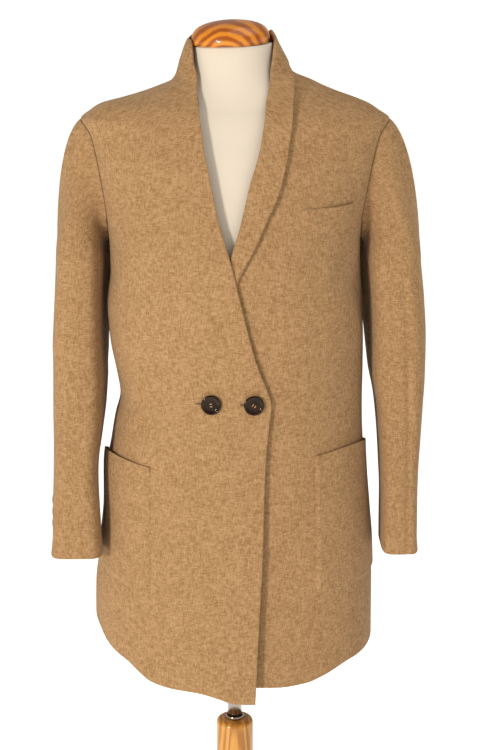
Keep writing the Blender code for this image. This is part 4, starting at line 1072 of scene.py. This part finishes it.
for name, cad_name, profile, x, z, count, look, stuff in (
        ("chromed_pole", "pole", pole_profile, stand_x, post_top + seam_gap,
         64, chrome, "chrome"),
        ("pine_post", "post", post_profile, stand_x, base_height + seam_gap,
         96, post_wood, "wood"),
        ("pine_base", "base", base_profile, 0.0, 0.0, 160, base_wood, "wood")):
    piece = closed_stack(name, lathe_rings(profile, (x, 0.0, z), count), look)
    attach(piece, "root")
    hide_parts(cad_name)


def closed_loop_mesh(name, points, look):
    """Closed tube from a grid that joins up both ways, such as a ring of rings."""
    rows, ring = points.shape[:2]
    number = (np.arange(rows + 1) % rows)[:, None] * ring + np.arange(ring + 1) % ring
    quads = squares(number)[:, :, [0, 3, 2, 1]].reshape(-1, 4)
    return put_mesh(name, points.reshape(-1, 3), quads.tolist(), look)


ring_wide, ring_tall = 0.0013, 0.0022    # half sizes of the ring's round section
ring_out, ring_up = 0.0014, 0.0030       # its middle, from the pole and over the post
ring_turn = np.linspace(0.0, 2.0 * math.pi, 64, endpoint=False)[:, None]
ring_section = np.linspace(0.0, 2.0 * math.pi, 16, endpoint=False)[None, :]
ring_reach = pole_radius + seam_gap + ring_out + ring_wide * np.cos(ring_section)
ring_level = post_top + ring_up + ring_tall * np.sin(ring_section) + 0.0 * ring_turn
ring_points = np.stack([stand_x + ring_reach * np.cos(ring_turn), ring_reach * np.sin(ring_turn),
                        ring_level], axis=-1)
pole_ring = closed_loop_mesh("chromed_ring", ring_points, chrome)
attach(pole_ring, "root")
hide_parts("pole_ring")

# ------------------------------------------------------------
# Buttons: dark polished horn with a raised rim and four holes. The two front ones close
# the overlap, each sewn on with tan thread over the end of a worked buttonhole; three
# small ones sit at the outer back of each cuff.
button_radius = 0.0136
button_thick = 0.0046
button_height = 0.9993    # both front buttons
button_off = 0.0006       # stand-off from the right front
cuff_button_radius = 0.0072
cuff_button_thick = 0.0030
cuff_button_off = 0.0008    # stand-off from the sleeve
cuff_button_turned = 0.4    # radians that its holes are turned
well_deep, well_edge = 0.5, 0.35    # of a hole: depth in thicknesses, edge in its own radius
button_upright = (1.0, 1.0, 0.4)    # keeps a front button steeper than the cloth under it
# Turned section: share of the radius, share of the thickness, from the back to the middle
button_section = np.array([
    (0, 0.1, 0), (1, 0.58, 0), (2, 0.8, 0.08), (3, 0.93, 0.28), (4, 0.99, 0.48), (5, 1, 0.64),
    (6, 0.985, 0.82), (7, 0.93, 0.96), (8, 0.87, 1), (9, 0.8, 0.97), (10, 0.73, 0.84),
    (11, 0.66, 0.75), (12, 0.5, 0.71), (13, 0.25, 0.7), (14, 0.02, 0.7),
])


def button_axes(axis):
    """Unit vectors to the right and up over the face of a button."""
    right = unit(np.cross((0.0, 0.0, 1.0), axis))
    return right, np.cross(axis, right)


def button_rings(spot, axis, radius, thick, turned, rows, count, hole_out, hole_wide):
    """Rings of a turned button, its four holes pressed in as smooth round wells."""
    at = np.concatenate([np.linspace(0.0, 11.0, rows), np.linspace(11.0, 14.0, 2 * rows)[1:]])
    profile = np.stack([radius * curve(at, button_section, 1),
                        thick * curve(at, button_section, 2)], axis=1)
    rings = lathe_rings(profile, (0.0, 0.0, 0.0), count)
    for quarter in range(4):
        angle = turned + 0.5 * math.pi * (quarter + 0.5)
        away = np.hypot(rings[..., 0] - hole_out * math.cos(angle),
                        rings[..., 1] - hole_out * math.sin(angle))
        well = well_deep * thick * smooth((hole_wide - away) / (well_edge * hole_wide))
        rings[..., 2] -= well * (at > 10.0)[:, None]
    right, upward = button_axes(axis)
    return rings[..., :1] * right + rings[..., 1:2] * upward + rings[..., 2:] * axis + spot


askew = (0.31, 0.22, 0.93)    # a direction that no thread follows


def tube_points(path, radius, count, closed):
    """Rings of a round thread along a path, square to the line through its neighbours."""
    if closed:
        ahead = unit(np.roll(path, -1, axis=0) - np.roll(path, 1, axis=0))
    else:
        ahead = unit(np.gradient(path, axis=0))
    side = unit(np.cross(ahead, askew))
    lift = np.cross(ahead, side)
    turn = np.linspace(0.0, 2.0 * math.pi, count, endpoint=False)[None, :, None]
    return path[:, None] + radius * (np.cos(turn) * side[:, None] + np.sin(turn) * lift[:, None])


def thread_look(name, colour):
    """Sewing thread: fine specks of a darker shade, where its plies cross."""
    look, shader = new_look(name, Roughness=0.6, Sheen_Weight=0.2)
    dark = [0.6 * part for part in colour]
    plies = noise_on(look, Scale=2200.0)
    fill_in(shader, Base_Color=two_shades(plies, 0.3, dark, 0.7, colour))
    return look


# Dark horn: glossy, nearly black, with brown clouds
horn, horn_shader = new_look("dark horn", Roughness=0.14, Specular_IOR_Level=0.30,
                             Specular_Tint=(1.0, 0.78, 0.60))
cloud = noise_on(horn, Scale=130.0, Detail=3.0)
fill_in(horn_shader, Base_Color=two_shades(cloud, 0.40, (0.0045, 0.0022, 0.0012),
                                           0.75, (0.022, 0.009, 0.0040)))

button_thread = thread_look("tan button thread", (0.52, 0.30, 0.15))
hole_thread = thread_look("dark buttonhole thread", (0.085, 0.042, 0.018))
bridge = 0.00184          # half a thread's length, and from the middle to each thread
stitch_radius = 0.00055
hole_cord_radius = 0.00048
thread_top = 0.0007       # height of a thread over the dish of the button
thread_sink = 0.0018      # how far its ends sink into the holes
hole_half_wide = 0.00062  # from the slit's line to the cord beside it
cord_off = 0.0001         # stand-off of the cord's middle
end_round, side_round = 0.35, 0.5    # below 1, the cord's loop is longer than an oval's

front_trims = []
for name, cad_name, degrees, turned, hole_from, hole_to in (
        ("front_button_right", "button_right", -12.6, 0.10, -20.6, -10.5),
        ("front_button_left", "button_left", 10.1, 0.95, 2.9, 12.0)):
    lift = float(over_lift(degrees, button_height)) + button_off
    spot = on_body(degrees, button_height, lift)
    axis = unit(body_normal(degrees, button_height) * np.array(button_upright))
    rings = button_rings(spot, axis, button_radius, button_thick, turned,
                         rows=26, count=96, hole_out=0.0026, hole_wide=0.0011)
    button = closed_stack(name, rings, horn)
    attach(button, "root")
    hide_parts(cad_name)
    right, upward = button_axes(axis)
    # Two threads, each over the bridge between a pair of holes
    for number, offset in enumerate((-bridge, bridge)):
        along = np.linspace(-1.0, 1.0, 17)
        dish = button_section[-1, 2] * button_thick
        height = (dish + thread_top) - thread_sink * np.abs(along) ** 6
        x = bridge * along * math.cos(turned) - offset * math.sin(turned)
        y = bridge * along * math.sin(turned) + offset * math.cos(turned)
        path = spot + x[:, None] * right + y[:, None] * upward + height[:, None] * axis
        stitch = closed_stack(f"{name}_thread_{number + 1}",
                              tube_points(path, stitch_radius, 10, False), button_thread)
        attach(stitch, "root")
        front_trims.append(stitch)
    # Worked buttonhole: one cord of thread laid round the slit
    turn = np.linspace(0.0, 2.0 * math.pi, 96, endpoint=False)
    out, up = np.cos(turn), np.sin(turn)
    path_turn = (0.5 * (hole_from + hole_to)
                 + 0.5 * (hole_to - hole_from) * np.sign(out) * np.abs(out) ** end_round)
    path_level = button_height + hole_half_wide * np.sign(up) * np.abs(up) ** side_round
    path = on_body(path_turn, path_level, over_lift(path_turn, path_level) + cord_off)
    hole = closed_loop_mesh(f"{name}_buttonhole",
                            tube_points(path, hole_cord_radius, 8, True), hole_thread)
    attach(hole, "root")
    front_trims += [button, hole]
# The right front carries the buttons and their holes, so its cloth lengths are worked out here
state_cut(right_face)

for side, word, cuff_turn in ((-1.0, "right", math.radians(-12.0)),
                              (1.0, "left", math.radians(-34.0))):
    for number, height in enumerate((0.8290, 0.8125, 0.7960)):
        spot = sleeve_ring(side, np.array(cuff_turn), np.array(height))
        around = sleeve_ring(side, np.array(cuff_turn + 0.02), np.array(height)) - spot
        axis = unit(np.cross(around, (0.0, 0.0, 1.0)))
        axis = -axis if axis[0] * side < 0.0 else axis
        rings = button_rings(spot + cuff_button_off * axis, axis, cuff_button_radius,
                             cuff_button_thick, cuff_button_turned,
                             rows=14, count=48, hole_out=0.0015, hole_wide=0.0007)
        button = closed_stack(f"cuff_horn_{word}_{number + 1}", rings, horn)
        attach(button, "root")
        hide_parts(f"cuff_button_{word}_{number + 1}")
    # Each sleeve carries its three buttons, so its cloth lengths are worked out here
    sleeve, face = sleeve_parts[side]
    state_cut(face)
